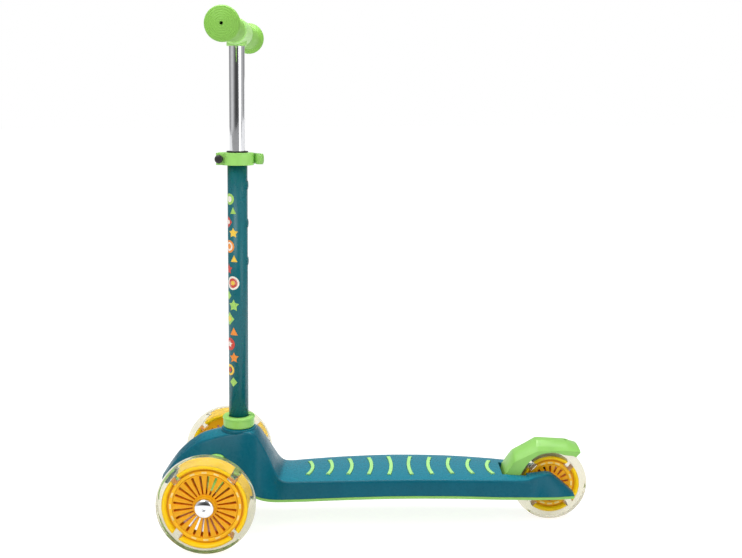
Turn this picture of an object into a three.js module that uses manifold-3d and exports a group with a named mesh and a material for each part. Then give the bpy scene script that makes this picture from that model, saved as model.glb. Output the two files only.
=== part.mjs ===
// Three wheel kids scooter that steers by leaning, in millimetres.
// +X points forwards, +Y to the rider's left and +Z up. The origin lies on the ground,
// under the middle of the scooter's bounding box.
import * as THREE from 'three';
import { mergeVertices } from 'three/addons/utils/BufferGeometryUtils.js';
import Module from 'manifold-3d';

const wasm = await Module();
wasm.setup();

// Driving sizes of the whole scooter
const wheelBase = 447;
const track = 214;
const handleHeight = 650;
const gripSpan = 262;

// Clearances
const runningGap = 0.5;
const seatGap = 0.3;
const overrun = 4;
const evenness = 0.03;

// Front and rear wheels
const frontWheel = {
  diameter: 125,
  width: 26,
  coreDiameter: 108,
  slots: 26,
};
const rearWheel = {
  diameter: 100,
  width: 24,
  coreDiameter: 78,
  slots: 18,
};
const hubDiameter = 30;
const bearingOuter = 22;
const bearingBore = 8;
const bearingWidth = 7;
const axleDiameter = 7.8;
const slotWidth = 3.3;
const slotInnerShare = 0.55;
const notchCount = 4;
const notchWidth = 8.6;
const notchDepth = 8;
const rimWidth = 6;
const lightGroove = 7;
const lightDepth = 2.6;
const lightGroups = 4;
const lightsPerGroup = 3;
const lightSpread = 20;
const lightRingHeight = 1.2;
const lightBlock = 1.5;
const lightLength = 7;
const rimRound = 1.6;
const webShare = 0.3;
const tyreRound = 7;
const crownSteps = 5;
const crownPower = 0.55;

// Deck, hood and fork moulding
const deckHalfWidth = 53;
const hoodHeight = 129;
const hoodLength = 168;
const deckHeight = 73.4;
const noseReach = 75;
const tailOverhang = 29;
const wall = 3.2;
const trimHeight = 4.6;
const plateWall = 2.4;
const ribWidth = 2.4;
const ribCount = 3;
const ribDepth = 12;
const ribStartShare = 0.08;
const ribEndShare = 0.655;
const ribTopShare = 0.94;
const creaseRound = 5;
const creaseSteps = 2;
const crownBulge = 0.5;
const creaseInsetShare = 0.6;
const forkGap = 3;
const wellReach = 11;
const wellBackReach = 22;
const axleHalf = 24;
const axleBoss = 9;
const brakePinHalf = 29;
const wellArcSteps = 6;

// Anti-slip strips let into the deck
const stripsPerSide = 5;
const stripPitch = 27.2;
const stripGapPitch = 31.5;
const stripMiddleShare = 0.397;
const stripWidth = 4.6;
const stripHalfLength = 38;
const stripRaise = 0.9;
const stripSink = 1.2;
const stripBow = 8;
const stripBowStep = 1.4;
const stripShortening = 2.3;
const stripSteps = 3;

// Lower cover of the deck
const plateRim = 3;
const plateDraft = 2;
const plateScrewDiameter = 5;
const plateScrewY = 30;
const plateScrewShares = [0.1, 0.6];

// Steering stem and its collar
const stemX = -26.8;
const stemRake = THREE.MathUtils.degToRad(0.92);
const stemDiameter = 26;
const stemWall = 1.5;
const stemFoot = 90;
const stemTop = 496;
const collarDiameter = 42.6;
const collarRise = 15.2;
const bossDiameter = 47;
const bossRise = 0.5;
const bossDraft = 1.5;
const bossDepth = 16;
const socketWall = 3.5;
const collarShares = [[0, 0], [0.82, 0], [1, 0.3], [1, 0.7], [0.86, 0.95], [0.65, 1], [0, 1]];
const keyWidth = 5;
const keyDepth = 5;

// Telescopic handle
const postDiameter = 20;
const postWall = 1.5;
const postFoot = 420;
const heightHoleTop = 454;
const heightHolePitch = 50;
const heightHoles = 3;
const heightHoleDiameter = 7;
const holeRimDiameter = 12;
const holeRimRise = 1.2;
const buttonTravel = 3;
const buttonFlange = 1;
const buttonDomeShare = 0.8;
const springWire = 1.2;
const bushingRim = 2;
const bushingDepth = 22;

// Clamp round the mouth of the stem
const clampHeight = 16;
const clampCentre = 488;
const clampWall = 7.9;
const clampSlit = 3;
const lugReach = 4.5;
const lugThickness = 12.5;
const boltInset = 4.2;
const boltDiameter = 5;
const nutDiameter = 10.6;
const nutLength = 8;
const nutRound = 1.5;
const eyeHalf = 3;
const leverHalf = 7;
const leverThickness = 5.5;
const camDiameter = 13;
const leverPinDiameter = 4;
const leverGap = 2.4;
const leverAngles = [287, 262, 236, 212, 194, 180];
const leverTipReach = 2.6;
const leverTipShare = 0.25;
const leverTipRadius = 5.6;
const leverSteps = 7;
const leverInset = 1.2;
const leverOffset = 0.5;

// Handlebar
const gripFlangeDiameter = 43.5;
const gripDiameter = 31;
const gripDome = 5;
const gripRibs = 2;
const gripRibHeight = 1.1;
const ribMarginShare = 0.12;
const flangeWidth = 6;
const domeStepShares = [0.6, 0.78];
const ventDiameter = 4;
const jointDiameter = 34;
const jointHalfLength = 34;
const jointSleeve = 18;
const jointWall = 3;
const jointRound = 2.5;
const barDiameter = 20;

// Lean steering
const kingpinY = 44;
const kingpinTilt = THREE.MathUtils.degToRad(25);
const kingpinDiameter = 8;
const barrelDiameter = 19;
const barrelHeight = 26;
const earThickness = 6;
const bushHeight = 3;
const armReach = 24;
const armThickness = 8;
const armWidth = 10;
const tiePinDiameter = 5;
const stubDiameter = 22;
const stubTaper = 4;
const stubNoseRadius = 6;
const eyeWall = 2;
const kingpinTail = 2;
const kingpinHead = 3;
const tieThickness = 5;
const studHead = 2;
const housingHalfSpan = 57;
const housingRear = -38;
const housingFront = 62;
const housingFoot = 50;
const housingTop = 103;
const archSteps = 10;
const housingWall = 3.4;
const boltHeadDiameter = 24;
const boltHeadRise = 5.5;
const boltSocket = 5;
const socketFlats = 6;
const domeEdgeShare = 0.3;
const domeMiddleShares = [0.83, 0.7];
const domeTopShare = 0.93;

// Foot brake
const brakeReach = 55.5;
const brakeRise = 10;
const brakePin = 5;
const brakeGap = 4.2;
const fenderReach = 64;
const fenderTail = 38.5;
const fenderLift = 4;
const fenderCrest = 10.5;
const fenderHalfWidth = 22;
const fenderWall = 2.6;
const cheekDrop = 12;
const cheekShares = [[0.3, 0], [0.8, 0.5], [1, 1]];
// Each roof point: place from front to back, height, and share of the drop at the cheeks
const fenderRoofShares = [
  [0, 0, 0], [0.02, 0.25, 0], [0.142, 0.681, 0.6], [0.437, 1, 0.9], [0.837, 0.947, 0.9],
  [1, 0.735, 0.2], [0.945, 0.64, 0],
];
const fenderArchShares = [
  [0.897, 0.69], [0.79, 0.708], [0.702, 0.752], [0.615, 0.77], [0.487, 0.734], [0.4, 0.655],
  [0.312, 0.513], [0.254, 0.354], [0.204, 0.177], [0.185, 0],
];
const fenderArchSteps = 10;
const fenderScrewReach = 21;
const fenderScrewDiameter = 4;
const padWidth = 14;
const shoeLength = 24;
const coilTurns = 3;
const coilTurnSteps = 8;
const coilSides = 5;
const coilPitch = 1.8;
const coilStart = -3;

// Roundness, in flats
const coarse = 10;
const medium = 16;
const rounded = 18;
const fine = 24;
const screwFlats = 8;

const colours = {
  teal: 0x125e6a,
  tubeTeal: 0x1b6b72,
  green: 0x9ad468,
  gripGreen: 0x8cc152,
  stripGreen: 0xa4e29a,
  amber: 0xf5a810,
  clear: 0xe9e6dd,
  chrome: 0xd9dadd,
  steel: 0x9a9da1,
  black: 0x1d1a1c,
  rubber: 0x2a2b2d,
  pale: 0xf4ead0,
  rust: 0x6d3a2c,
};

const scooter = new THREE.Group();

function finish(colour, roughness, metalness) {
  return new THREE.MeshStandardMaterial({ color: colour, roughness, metalness });
}

// Turns a closed geometry into a solid that can be joined and cut
function solidOf(geometry) {
  const bare = geometry.clone();
  bare.deleteAttribute('normal');
  bare.deleteAttribute('uv');
  const merged = mergeVertices(bare, 1e-4);
  const corners = Array.from(merged.index.array);
  const kept = [];
  for (let i = 0; i < corners.length; i += 3) {
    const [a, b, c] = corners.slice(i, i + 3);
    if (a !== b && b !== c && c !== a) {
      kept.push(a, b, c);
    }
  }
  const vertProperties = new Float32Array(merged.attributes.position.array);
  const solid = new wasm.Manifold(new wasm.Mesh({
    numProp: 3,
    vertProperties,
    triVerts: new Uint32Array(kept),
  }));
  if (solid.volume() > 0) {
    return solid;
  }
  // The outline was drawn the other way round, so its faces are turned out
  return new wasm.Manifold(new wasm.Mesh({
    numProp: 3,
    vertProperties,
    triVerts: new Uint32Array(kept.reverse()),
  }));
}

function geometryOf(solid) {
  const mesh = solid.getMesh();
  const geometry = new THREE.BufferGeometry();
  geometry.setAttribute('position', new THREE.BufferAttribute(new Float32Array(mesh.vertProperties), 3));
  geometry.setIndex(new THREE.BufferAttribute(new Uint32Array(mesh.triVerts), 1));
  geometry.computeVertexNormals();
  return geometry;
}

function addPiece(name, solid, material, parent = scooter) {
  const piece = new THREE.Mesh(geometryOf(solid.simplify(evenness)), material);
  piece.name = name;
  parent.add(piece);
  return piece;
}

function points2(pairs) {
  return pairs.map(([x, y]) => new THREE.Vector2(x, y));
}

// Revolves a profile of [radius, height] pairs about the Y axis
function turnY(profile, flats) {
  return solidOf(new THREE.LatheGeometry(points2(profile), flats, Math.PI / flats));
}

// Revolves a profile of [radius, height] pairs about the Z axis
function turnZ(profile, flats) {
  const geometry = new THREE.LatheGeometry(points2(profile), flats, Math.PI / flats);
  return solidOf(geometry.rotateX(Math.PI / 2));
}

// A closed ring profile, from inner and outer radii and two heights
function ringProfile(inner, outer, low, high) {
  return [[inner, low], [outer, low], [outer, high], [inner, high], [inner, low]];
}

function rodProfile(radius, low, high) {
  return [[0, low], [radius, low], [radius, high], [0, high]];
}

// Extrudes an outline drawn in X and Z across Y, from low to high
function acrossY(outline, low, high) {
  const geometry = new THREE.ExtrudeGeometry(new THREE.Shape(points2(outline)), {
    depth: high - low,
    bevelEnabled: false,
  });
  geometry.rotateX(Math.PI / 2).translate(0, high, 0);
  return solidOf(geometry);
}

// Extrudes an outline drawn in X and Y upwards, from low to high
function upZ(outline, low, high) {
  const geometry = new THREE.ExtrudeGeometry(new THREE.Shape(points2(outline)), {
    depth: high - low,
    bevelEnabled: false,
  });
  return solidOf(geometry.translate(0, 0, low));
}

function block(sizeX, sizeY, sizeZ, x = 0, y = 0, z = 0) {
  return solidOf(new THREE.BoxGeometry(sizeX, sizeY, sizeZ).translate(x, y, z));
}

function joined(solids) {
  return solids.reduce((sum, next) => sum.add(next));
}

function degrees(radians) {
  return THREE.MathUtils.radToDeg(radians);
}

const flatScale = 1 / Math.cos(Math.PI / fine);

// One wheel about its own axle along Y, with its outer side at +Y
function addWheel(prefix, spec, place, outward) {
  const group = new THREE.Group();
  group.position.set(...place);
  group.rotation.z = outward > 0 ? 0 : Math.PI;
  scooter.add(group);

  const hubHalf = spec.width / 2;
  const seat = bearingOuter / 2 + seatGap;
  const coreRadius = spec.coreDiameter / 2;
  const rimInner = coreRadius - rimWidth;
  const grooveInner = rimInner - lightGroove;
  const webHalf = spec.width * webShare;
  const rimHalf = hubHalf - rimRound;
  const hubRadius = hubDiameter / 2;
  const grooveFloor = webHalf - lightDepth;

  const half = [
    [hubRadius, hubHalf],
    [hubRadius + rimRound, webHalf],
    [grooveInner, webHalf],
  ];
  const rim = [
    [rimInner, rimHalf - rimRound],
    [(rimInner + coreRadius) / 2, rimHalf],
    [coreRadius, rimHalf - rimRound],
  ];
  const innerFace = [...half, ...rim].map(([r, y]) => [r, -y]);
  const outerFace = [...half, [grooveInner, grooveFloor], [rimInner, grooveFloor], ...rim].reverse();
  const bore = [[seat, hubHalf], [seat, -hubHalf]];
  let core = turnY([...innerFace, ...outerFace, ...bore, innerFace[0]], rounded);

  // Radial slots through the web, wider at their outer ends
  const slotInner = hubRadius + rimRound * 2;
  const slotOuter = grooveInner - rimRound;
  const slotSection = [
    [slotInner, -slotWidth * slotInnerShare / 2],
    [slotOuter, -slotWidth / 2],
    [slotOuter, slotWidth / 2],
    [slotInner, slotWidth * slotInnerShare / 2],
  ];
  const slot = acrossY(slotSection, -webHalf - overrun, webHalf + overrun);
  const slots = [];
  for (let i = 0; i < spec.slots; i += 1) {
    slots.push(slot.rotate([0, (i + 1 / 2) * 360 / spec.slots, 0]));
  }
  core = core.subtract(joined(slots));

  // Notches in the rim that key the tyre
  const notchFloor = coreRadius - notchDepth;
  const notch = block(notchDepth + overrun, spec.width, notchWidth, notchFloor + (notchDepth + overrun) / 2);
  const lugInner = notchFloor + seatGap;
  const lugOuter = coreRadius + tyreRound / 2;
  const lug = block(lugOuter - lugInner, rimHalf * 2 - rimRound, notchWidth - seatGap * 2,
    (lugInner + lugOuter) / 2);
  const notches = [];
  const lugs = [];
  for (let i = 0; i < notchCount; i += 1) {
    const angle = (i + 1 / 2) * 360 / notchCount;
    notches.push(notch.rotate([0, angle, 0]));
    lugs.push(lug.rotate([0, angle, 0]));
  }
  core = core.subtract(joined(notches));
  addPiece(`${prefix}_core`, core, finish(colours.amber, 0.45, 0), group);

  // The tyre's flats, not its corners, lie at the rolling radius
  const tyreRadius = spec.diameter / 2 * flatScale;
  const tyreInner = (coreRadius + seatGap) * flatScale;
  const crown = [];
  const peak = Math.cos(Math.PI / crownSteps / 2);
  for (let i = 0; i <= crownSteps; i += 1) {
    const angle = Math.PI * (i / crownSteps - 1 / 2);
    const across = Math.sin(angle) * (hubHalf - rimRound / 2);
    const rise = (Math.cos(angle) / peak) ** crownPower;
    crown.push([tyreRadius - tyreRound * (1 - rise), across]);
  }
  const tyreProfile = [[tyreInner, -rimHalf], ...crown, [tyreInner, rimHalf], [tyreInner, -rimHalf]];
  addPiece(`${prefix}_tyre`, turnY(tyreProfile, fine).add(joined(lugs)), finish(colours.clear, 0.2, 0), group);

  // The ring of lights lies in the groove of the outer face
  const ringInner = grooveInner + seatGap;
  const ringOuter = notchFloor - seatGap;
  const ringLow = grooveFloor + seatGap;
  const ringHigh = ringLow + lightRingHeight;
  const ring = turnY(ringProfile(ringInner, ringOuter, ringLow, ringHigh), rounded);
  const light = block(ringOuter - ringInner, lightBlock, lightLength,
    (ringInner + ringOuter) / 2 - seatGap, ringHigh + lightBlock / 2 - seatGap);
  const lights = [];
  for (let i = 0; i < lightGroups * lightsPerGroup; i += 1) {
    const quarter = Math.floor(i / lightsPerGroup) * 360 / lightGroups;
    const step = i % lightsPerGroup - (lightsPerGroup - 1) / 2;
    lights.push(light.rotate([0, quarter + step * lightSpread, 0]));
  }
  addPiece(`${prefix}_light_ring`, ring.add(joined(lights)), finish(colours.pale, 0.35, 0), group);

  for (const [name, side] of [['outer', 1], ['inner', -1]]) {
    const near = side * (hubHalf - bearingWidth + seatGap);
    const far = side * hubHalf;
    const profile = ringProfile(bearingBore / 2 + seatGap / 2, bearingOuter / 2,
      Math.min(near, far), Math.max(near, far));
    addPiece(`${prefix}_bearing_${name}`, turnY(profile, coarse), finish(colours.steel, 0.3, 1), group);
  }
  return group;
}

const frontAxleZ = frontWheel.diameter / 2;
const rearAxleZ = rearWheel.diameter / 2;
addWheel('front_left', frontWheel, [0, track / 2, frontAxleZ], 1);
addWheel('front_right', frontWheel, [0, -track / 2, frontAxleZ], -1);
addWheel('rear', rearWheel, [-wheelBase, 0, rearAxleZ], 1);

// Steering: everything here turns about an inclined kingpin, which is the local Z axis.
// Leaning the stem tips the deck, the inclined pins turn, and both wheels steer that way.
const barrelHalf = barrelHeight / 2;
const upperEarLow = barrelHalf + seatGap;
const bushTop = -barrelHalf - seatGap;
const bushFoot = bushTop - bushHeight;
const lowerEarHigh = bushFoot - seatGap;
const hubFace = track / 2 - frontWheel.width / 2 - kingpinY;
const outerHubFace = track / 2 + frontWheel.width / 2 - kingpinY;
const boltRadius = axleDiameter / 2;

function addSteering(side) {
  const name = side > 0 ? 'left' : 'right';
  const group = new THREE.Group();
  group.position.set(0, side * kingpinY, frontAxleZ);
  group.rotation.y = kingpinTilt;
  scooter.add(group);

  const barrel = turnZ(rodProfile(barrelDiameter / 2, -barrelHalf, barrelHalf), coarse);
  const stubEnd = hubFace - runningGap * 2;
  const stub = turnY([
    [0, 0],
    [stubDiameter / 2, 0],
    [stubDiameter / 2, stubEnd - stubTaper],
    [stubDiameter / 2 - stubTaper, stubEnd],
    [stubNoseRadius, stubEnd],
    [stubNoseRadius, hubFace - seatGap],
    [0, hubFace - seatGap],
  ], coarse);
  const gusset = block(stubDiameter, stubEnd - stubTaper, armThickness, 0, (stubEnd - stubTaper) / 2);
  const arm = block(armReach, armWidth, armThickness, -armReach / 2);
  const eye = turnZ(rodProfile(armWidth / 2 + eyeWall, -armThickness / 2, armThickness / 2), coarse)
    .translate(-armReach, 0, 0);
  const pinBore = turnZ(rodProfile(kingpinDiameter / 2 + seatGap, -barrelHeight, barrelHeight), coarse);
  const tieBore = turnZ(rodProfile(tiePinDiameter / 2 + seatGap, -barrelHeight, barrelHeight), coarse)
    .translate(-armReach, 0, 0);
  const boltStart = barrelDiameter / 2 + eyeWall;
  const boltBore = turnY(rodProfile(boltRadius + seatGap, boltStart - seatGap, hubFace + overrun), coarse);
  let knuckle = joined([barrel, stub, gusset, arm, eye]).subtract(pinBore).subtract(tieBore).subtract(boltBore);

  const washerFace = outerHubFace + seatGap;
  const headRadius = boltHeadDiameter / 2;
  let bolt = turnY([
    [0, boltStart],
    [boltRadius, boltStart],
    [boltRadius, washerFace],
    [headRadius, washerFace],
    [headRadius, washerFace + boltHeadRise * domeEdgeShare],
    [headRadius * domeMiddleShares[0], washerFace + boltHeadRise * domeMiddleShares[1]],
    [headRadius / 2, washerFace + boltHeadRise * domeTopShare],
    [0, washerFace + boltHeadRise],
  ], medium);
  const socketFloor = washerFace + boltHeadRise / 2;
  const socketTop = washerFace + boltHeadRise + overrun;
  const socket = turnY(rodProfile(boltSocket / 2, socketFloor, socketTop), socketFlats);
  bolt = bolt.subtract(socket);

  const kingpin = turnZ([
    [0, lowerEarHigh - earThickness - kingpinTail],
    [kingpinDiameter / 2, lowerEarHigh - earThickness - kingpinTail],
    [kingpinDiameter / 2, upperEarLow + earThickness + seatGap],
    [kingpinDiameter / 2 + eyeWall, upperEarLow + earThickness + seatGap],
    [kingpinDiameter / 2 + eyeWall, upperEarLow + earThickness + kingpinHead],
    [0, upperEarLow + earThickness + kingpinHead],
  ], coarse);
  const bush = turnZ(ringProfile(kingpinDiameter / 2 + seatGap, barrelDiameter / 2, bushFoot, bushTop), coarse);

  if (side < 0) {
    knuckle = knuckle.mirror([0, 1, 0]);
    bolt = bolt.mirror([0, 1, 0]);
  }
  addPiece(`knuckle_${name}`, knuckle, finish(colours.green, 0.5, 0), group);
  addPiece(`axle_bolt_${name}`, bolt, finish(colours.chrome, 0.15, 1), group);
  addPiece(`kingpin_${name}`, kingpin, finish(colours.steel, 0.35, 1), group);
  addPiece(`centring_bush_${name}`, bush, finish(colours.rubber, 0.8, 0), group);
}

addSteering(1);
addSteering(-1);

// The tie rod lies on both steering arms, its studs riveted in, so the wheels always turn alike
const tieGroup = new THREE.Group();
tieGroup.position.set(0, 0, frontAxleZ);
tieGroup.rotation.y = kingpinTilt;
scooter.add(tieGroup);
const tieLow = armThickness / 2 + seatGap;
const tieHigh = tieLow + tieThickness;
const tieEyes = [kingpinY, -kingpinY].map((y) => (
  turnZ(rodProfile(armWidth / 2 + eyeWall, tieLow, tieHigh), coarse).translate(-armReach, y, 0)
));
const tieStuds = [kingpinY, -kingpinY].map((y) => turnZ([
  [0, -armThickness / 2 - studHead],
  [tiePinDiameter / 2, -armThickness / 2 - studHead],
  [tiePinDiameter / 2, tieHigh],
  [tiePinDiameter / 2 + eyeWall / 2, tieHigh],
  [tiePinDiameter / 2 + eyeWall / 2, tieHigh + studHead],
  [0, tieHigh + studHead],
], coarse).translate(-armReach, y, 0));
const tieBar = block(armWidth, kingpinY * 2, tieThickness, -armReach, 0, (tieLow + tieHigh) / 2);
addPiece('tie_rod', joined([tieBar, ...tieEyes, ...tieStuds]), finish(colours.steel, 0.4, 1), tieGroup);


// Deck, hood and rear fork are one moulding, lofted through cross sections.
// Each station: place from front to back, height of the crest, half width and height of
// the crease, half width of the side and height of the lower edge. In the hood's table
// places are shares of hoodLength, and upper heights are shares of the rise from the
// lower edge to hoodHeight.
const hoodShares = [
  [0, 0.0639, 0.13, 0.0364, 0.16, 0.8],
  [0.065, 0.3097, 0.3, 0.2461, 0.42, 0.79],
  [0.148, 0.564, 0.37, 0.4732, 0.64, 0.79],
  [0.262, 0.7911, 0.41, 0.7003, 0.83, 0.79],
  [0.377, 0.9183, 0.43, 0.8365, 0.94, 0.79],
  [0.623, 1, 0.43, 0.9728, 1, 0.79],
  [0.748, 0.9748, 0.42, 0.9413, 0.95, 0.71],
  [0.82, 0.7875, 0.46, 0.7481, 0.9, 0.641],
  [0.879, 0.5879, 0.54, 0.5421, 0.865, 0.606],
  [0.935, 0.3968, 0.68, 0.3516, 0.84, 0.592],
];
// Here places are shares of the deck's length, and all heights of deckHeight
const deckShares = [
  [0, 0.958, 0.8, 0.917, 0.84, 0.592],
  [0.072, 0.953, 0.86, 0.928, 0.89, 0.615],
  [0.209, 0.981, 0.93, 0.958, 0.965, 0.661],
  [0.381, 1, 0.965, 0.977, 1, 0.691],
  [0.568, 0.988, 0.935, 0.965, 0.97, 0.68],
  [0.727, 0.949, 0.84, 0.928, 0.88, 0.633],
  [0.827, 0.919, 0.73, 0.896, 0.78, 0.598],
  [0.863, 0.949, 0.5, 0.94, 0.745, 0.585],
  [0.899, 0.967, 0.42, 0.949, 0.72, 0.58],
  [0.928, 0.879, 0.4, 0.861, 0.68, 0.571],
  [1, 0.589, 0.4, 0.58, 0.58, 0.562],
];
const tailReach = wheelBase + tailOverhang;
const neckX = noseReach - hoodLength;
const deckLength = tailReach + neckX;

function deckX(share) {
  return neckX - share * deckLength;
}

function stationsOf(shares, placeOf, heightOf) {
  return shares.map(([place, crest, creaseWidth, creaseHeight, sideWidth, lowerEdge]) => {
    const lower = lowerEdge * deckHeight;
    return {
      x: placeOf(place),
      crest: heightOf(crest, lower),
      creaseHalf: creaseWidth * deckHalfWidth,
      creaseHeight: heightOf(creaseHeight, lower),
      sideHalf: sideWidth * deckHalfWidth,
      lower,
    };
  });
}

function hoodX(share) {
  return noseReach - share * hoodLength;
}

const stations = [
  ...stationsOf(hoodShares, hoodX, (share, lower) => lower + share * (hoodHeight - lower)),
  ...stationsOf(deckShares, deckX, (share) => share * deckHeight),
];

// Half of one section, from its lower edge over the crease to the crest. The hollow's
// section, which is inset, has a sharp crease and no crown.
function halfSection(station, inset) {
  const foot = new THREE.Vector2(station.sideHalf - inset, station.lower);
  const crease = new THREE.Vector2(station.creaseHalf - inset * creaseInsetShare, station.creaseHeight - inset);
  const crown = new THREE.Vector2(0, station.crest - inset);
  if (inset > 0) {
    return [foot, crease, crown];
  }
  const round = Math.min(creaseRound, foot.distanceTo(crease) / 3);
  const before = crease.clone().lerp(foot, round / foot.distanceTo(crease));
  const after = crease.clone().lerp(crown, round / crown.distanceTo(crease));
  const bend = new THREE.QuadraticBezierCurve(before, crease, after).getPoints(creaseSteps);
  const shoulder = after.clone().lerp(crown, 1 / 2);
  shoulder.y += crownBulge;
  return [foot, ...bend, shoulder, crown];
}

function fullSection(station, inset, drop) {
  const half = halfSection(station, inset);
  const foot = half[0].clone();
  foot.y -= drop;
  const right = [foot, ...half.slice(1)];
  const left = right.slice(0, -1).reverse().map((point) => new THREE.Vector2(-point.x, point.y));
  return [...right, ...left];
}

// Joins sections of the same number of points into one closed body
function loft(sections) {
  const count = sections[0].points.length;
  const positions = sections.flatMap(({ x, points }) => points.flatMap((point) => [x, point.x, point.y]));
  const index = [];
  for (let s = 0; s + 1 < sections.length; s += 1) {
    for (let i = 0; i < count; i += 1) {
      const a = s * count + i;
      const b = s * count + (i + 1) % count;
      index.push(a, b, a + count, b, b + count, a + count);
    }
  }
  for (const [s, turned] of [[0, true], [sections.length - 1, false]]) {
    for (const face of THREE.ShapeUtils.triangulateShape(sections[s].points, [])) {
      const corners = face.map((corner) => s * count + corner);
      index.push(...(turned ? corners.reverse() : corners));
    }
  }
  const geometry = new THREE.BufferGeometry();
  geometry.setAttribute('position', new THREE.Float32BufferAttribute(positions, 3));
  geometry.setIndex(index);
  return solidOf(geometry);
}

function mouldingLoft(chosen, inset, drop) {
  return loft(chosen.map((station) => ({ x: station.x, points: fullSection(station, inset, drop) })));
}

// Arch of the axle housing, seen from the side
const housingLength = housingFront - housingRear;
const housingRise = housingTop - housingFoot;
const housingShares = [
  [0, 0], [0.03, 0.42], [0.09, 0.7], [0.17, 0.92], [0.27, 1], [0.42, 0.95], [0.72, 0.62], [0.94, 0.3], [1, 0],
];

function housingArch(outset, foot) {
  const middle = (housingRear + housingFront) / 2;
  const stretchX = 1 + outset * 2 / housingLength;
  const stretchZ = 1 + outset / housingRise;
  const along = housingShares.map(([x, z]) => new THREE.Vector2(
    middle + (housingRear + x * housingLength - middle) * stretchX,
    housingFoot + z * housingRise * stretchZ,
  ));
  const arch = new THREE.SplineCurve(along).getPoints(archSteps);
  const ends = [[arch[arch.length - 1].x, foot], [arch[0].x, foot]];
  return [...arch.map((point) => [point.x, point.y]), ...ends];
}

// A solid of revolution on the raked stem axis
function onStem(solid) {
  return solid.rotate([0, -degrees(stemRake), 0]).translate(stemX, 0, 0);
}

const socketOuter = stemDiameter / 2 + seatGap + socketWall;
const socketFloorZ = stemFoot - seatGap - socketWall;
const collarFoot = hoodHeight + bossRise;
const boss = onStem(turnZ([
  [0, collarFoot - bossDepth],
  [bossDiameter / 2, collarFoot - bossDepth],
  [bossDiameter / 2, collarFoot - bossDraft],
  [bossDiameter / 2 - bossDraft, collarFoot],
  [0, collarFoot],
], rounded));
const outerBody = mouldingLoft(stations, 0, 0).add(boss);
// The hollow stops short of the closed nose and of the solid fork tips
const innerBody = mouldingLoft(stations.slice(1, -1), wall, overrun);
const socketRod = rodProfile(socketOuter, socketFloorZ, collarFoot);
const socketPost = onStem(turnZ(socketRod, medium)).intersect(outerBody);
const stemRoom = rodProfile(stemDiameter / 2 + seatGap, stemFoot - seatGap, handleHeight);
const socketBore = onStem(turnZ(stemRoom, medium));
const archCut = acrossY(housingArch(runningGap, -overrun), -hoodHeight, hoodHeight);

// Ribs under the standing area
const ribs = [];
for (let i = 0; i < ribCount; i += 1) {
  const x = deckX(ribStartShare + (ribEndShare - ribStartShare) * i / (ribCount - 1));
  ribs.push(block(ribWidth, deckHalfWidth * 2, ribDepth, x, 0, deckHeight * ribTopShare - ribDepth / 2));
}
const ribSolid = joined(ribs).intersect(outerBody);

// The wheel runs in a slot of the fork, with a wider well for the brake's ears
const brakeX = brakeReach - wheelBase;
const brakeZ = rearAxleZ + brakeRise;
const forkHalf = rearWheel.width / 2 + forkGap;
const wellHalf = fenderHalfWidth + runningGap * 2;
const wheelWell = rearWheel.diameter / 2 + forkGap;
const slotCut = block(tailReach, forkHalf * 2, hoodHeight, -wheelBase - tailReach / 2, 0, hoodHeight / 2)
  .add(acrossY(
    new THREE.Shape().absarc(-wheelBase, rearAxleZ, wheelWell, 0, Math.PI * 2).getPoints(wellArcSteps)
      .map((point) => [point.x, point.y]),
    -forkHalf,
    forkHalf,
  ));
const wellFront = brakeX + wellReach;
const wellBack = brakeX - wellBackReach;
const wellMiddle = (wellFront + wellBack) / 2;
const wellCut = block(wellFront - wellBack, wellHalf * 2, hoodHeight, wellMiddle, 0, hoodHeight / 2);

// A rod along Y, reaching as far to the left as to the right
function crossRod(radius, half, x, z) {
  return turnY(rodProfile(radius, -half, half), coarse).translate(x, 0, z);
}

const rearAxleBore = crossRod(axleDiameter / 2 + seatGap, axleHalf + seatGap, -wheelBase, rearAxleZ);
const brakeBore = crossRod(brakePin / 2 + seatGap, brakePinHalf + seatGap, brakeX, brakeZ);
const axleBosses = crossRod(axleBoss, axleHalf + socketWall, -wheelBase, rearAxleZ);
const brakeBosses = crossRod(axleBoss, brakePinHalf + socketWall, brakeX, brakeZ);
// Side walls of the wheel slot close the fork arms on their inner side
const slotLiner = block(tailReach + brakeX + wellReach, (forkHalf + wall) * 2, hoodHeight,
  (brakeX + wellReach - tailReach) / 2, 0, hoodHeight / 2)
  .add(block(wellFront - wellBack + wall * 2, (wellHalf + wall) * 2, hoodHeight,
    wellMiddle, 0, hoodHeight / 2));
const lining = joined([slotLiner, axleBosses, brakeBosses]).intersect(outerBody);

let deckShell = joined([outerBody.subtract(innerBody), socketPost, ribSolid, lining]);
deckShell = deckShell.subtract(joined([socketBore, archCut, slotCut, wellCut, rearAxleBore, brakeBore]));

// Light green anti-slip strips, bowed towards the middle of the deck and let into its top
function deckTopAt(x) {
  const next = stations.findIndex((station) => station.x < x);
  const [before, after] = [stations[next - 1], stations[next]];
  return THREE.MathUtils.mapLinear(x, before.x, after.x, before.crest, after.crest);
}

function stripOutline(x, half, bow, width) {
  const side = (offset) => [[half, 0], [half / 2, bow * 3 / 4], [0, bow], [-half / 2, bow * 3 / 4], [-half, 0]]
    .map(([y, b]) => new THREE.Vector2(x + b + offset, y));
  const front = new THREE.SplineCurve(side(width / 2)).getPoints(stripSteps);
  const back = new THREE.SplineCurve(side(-width / 2)).getPoints(stripSteps).reverse();
  return [...front, ...back].map((point) => [point.x, point.y]);
}

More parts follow.
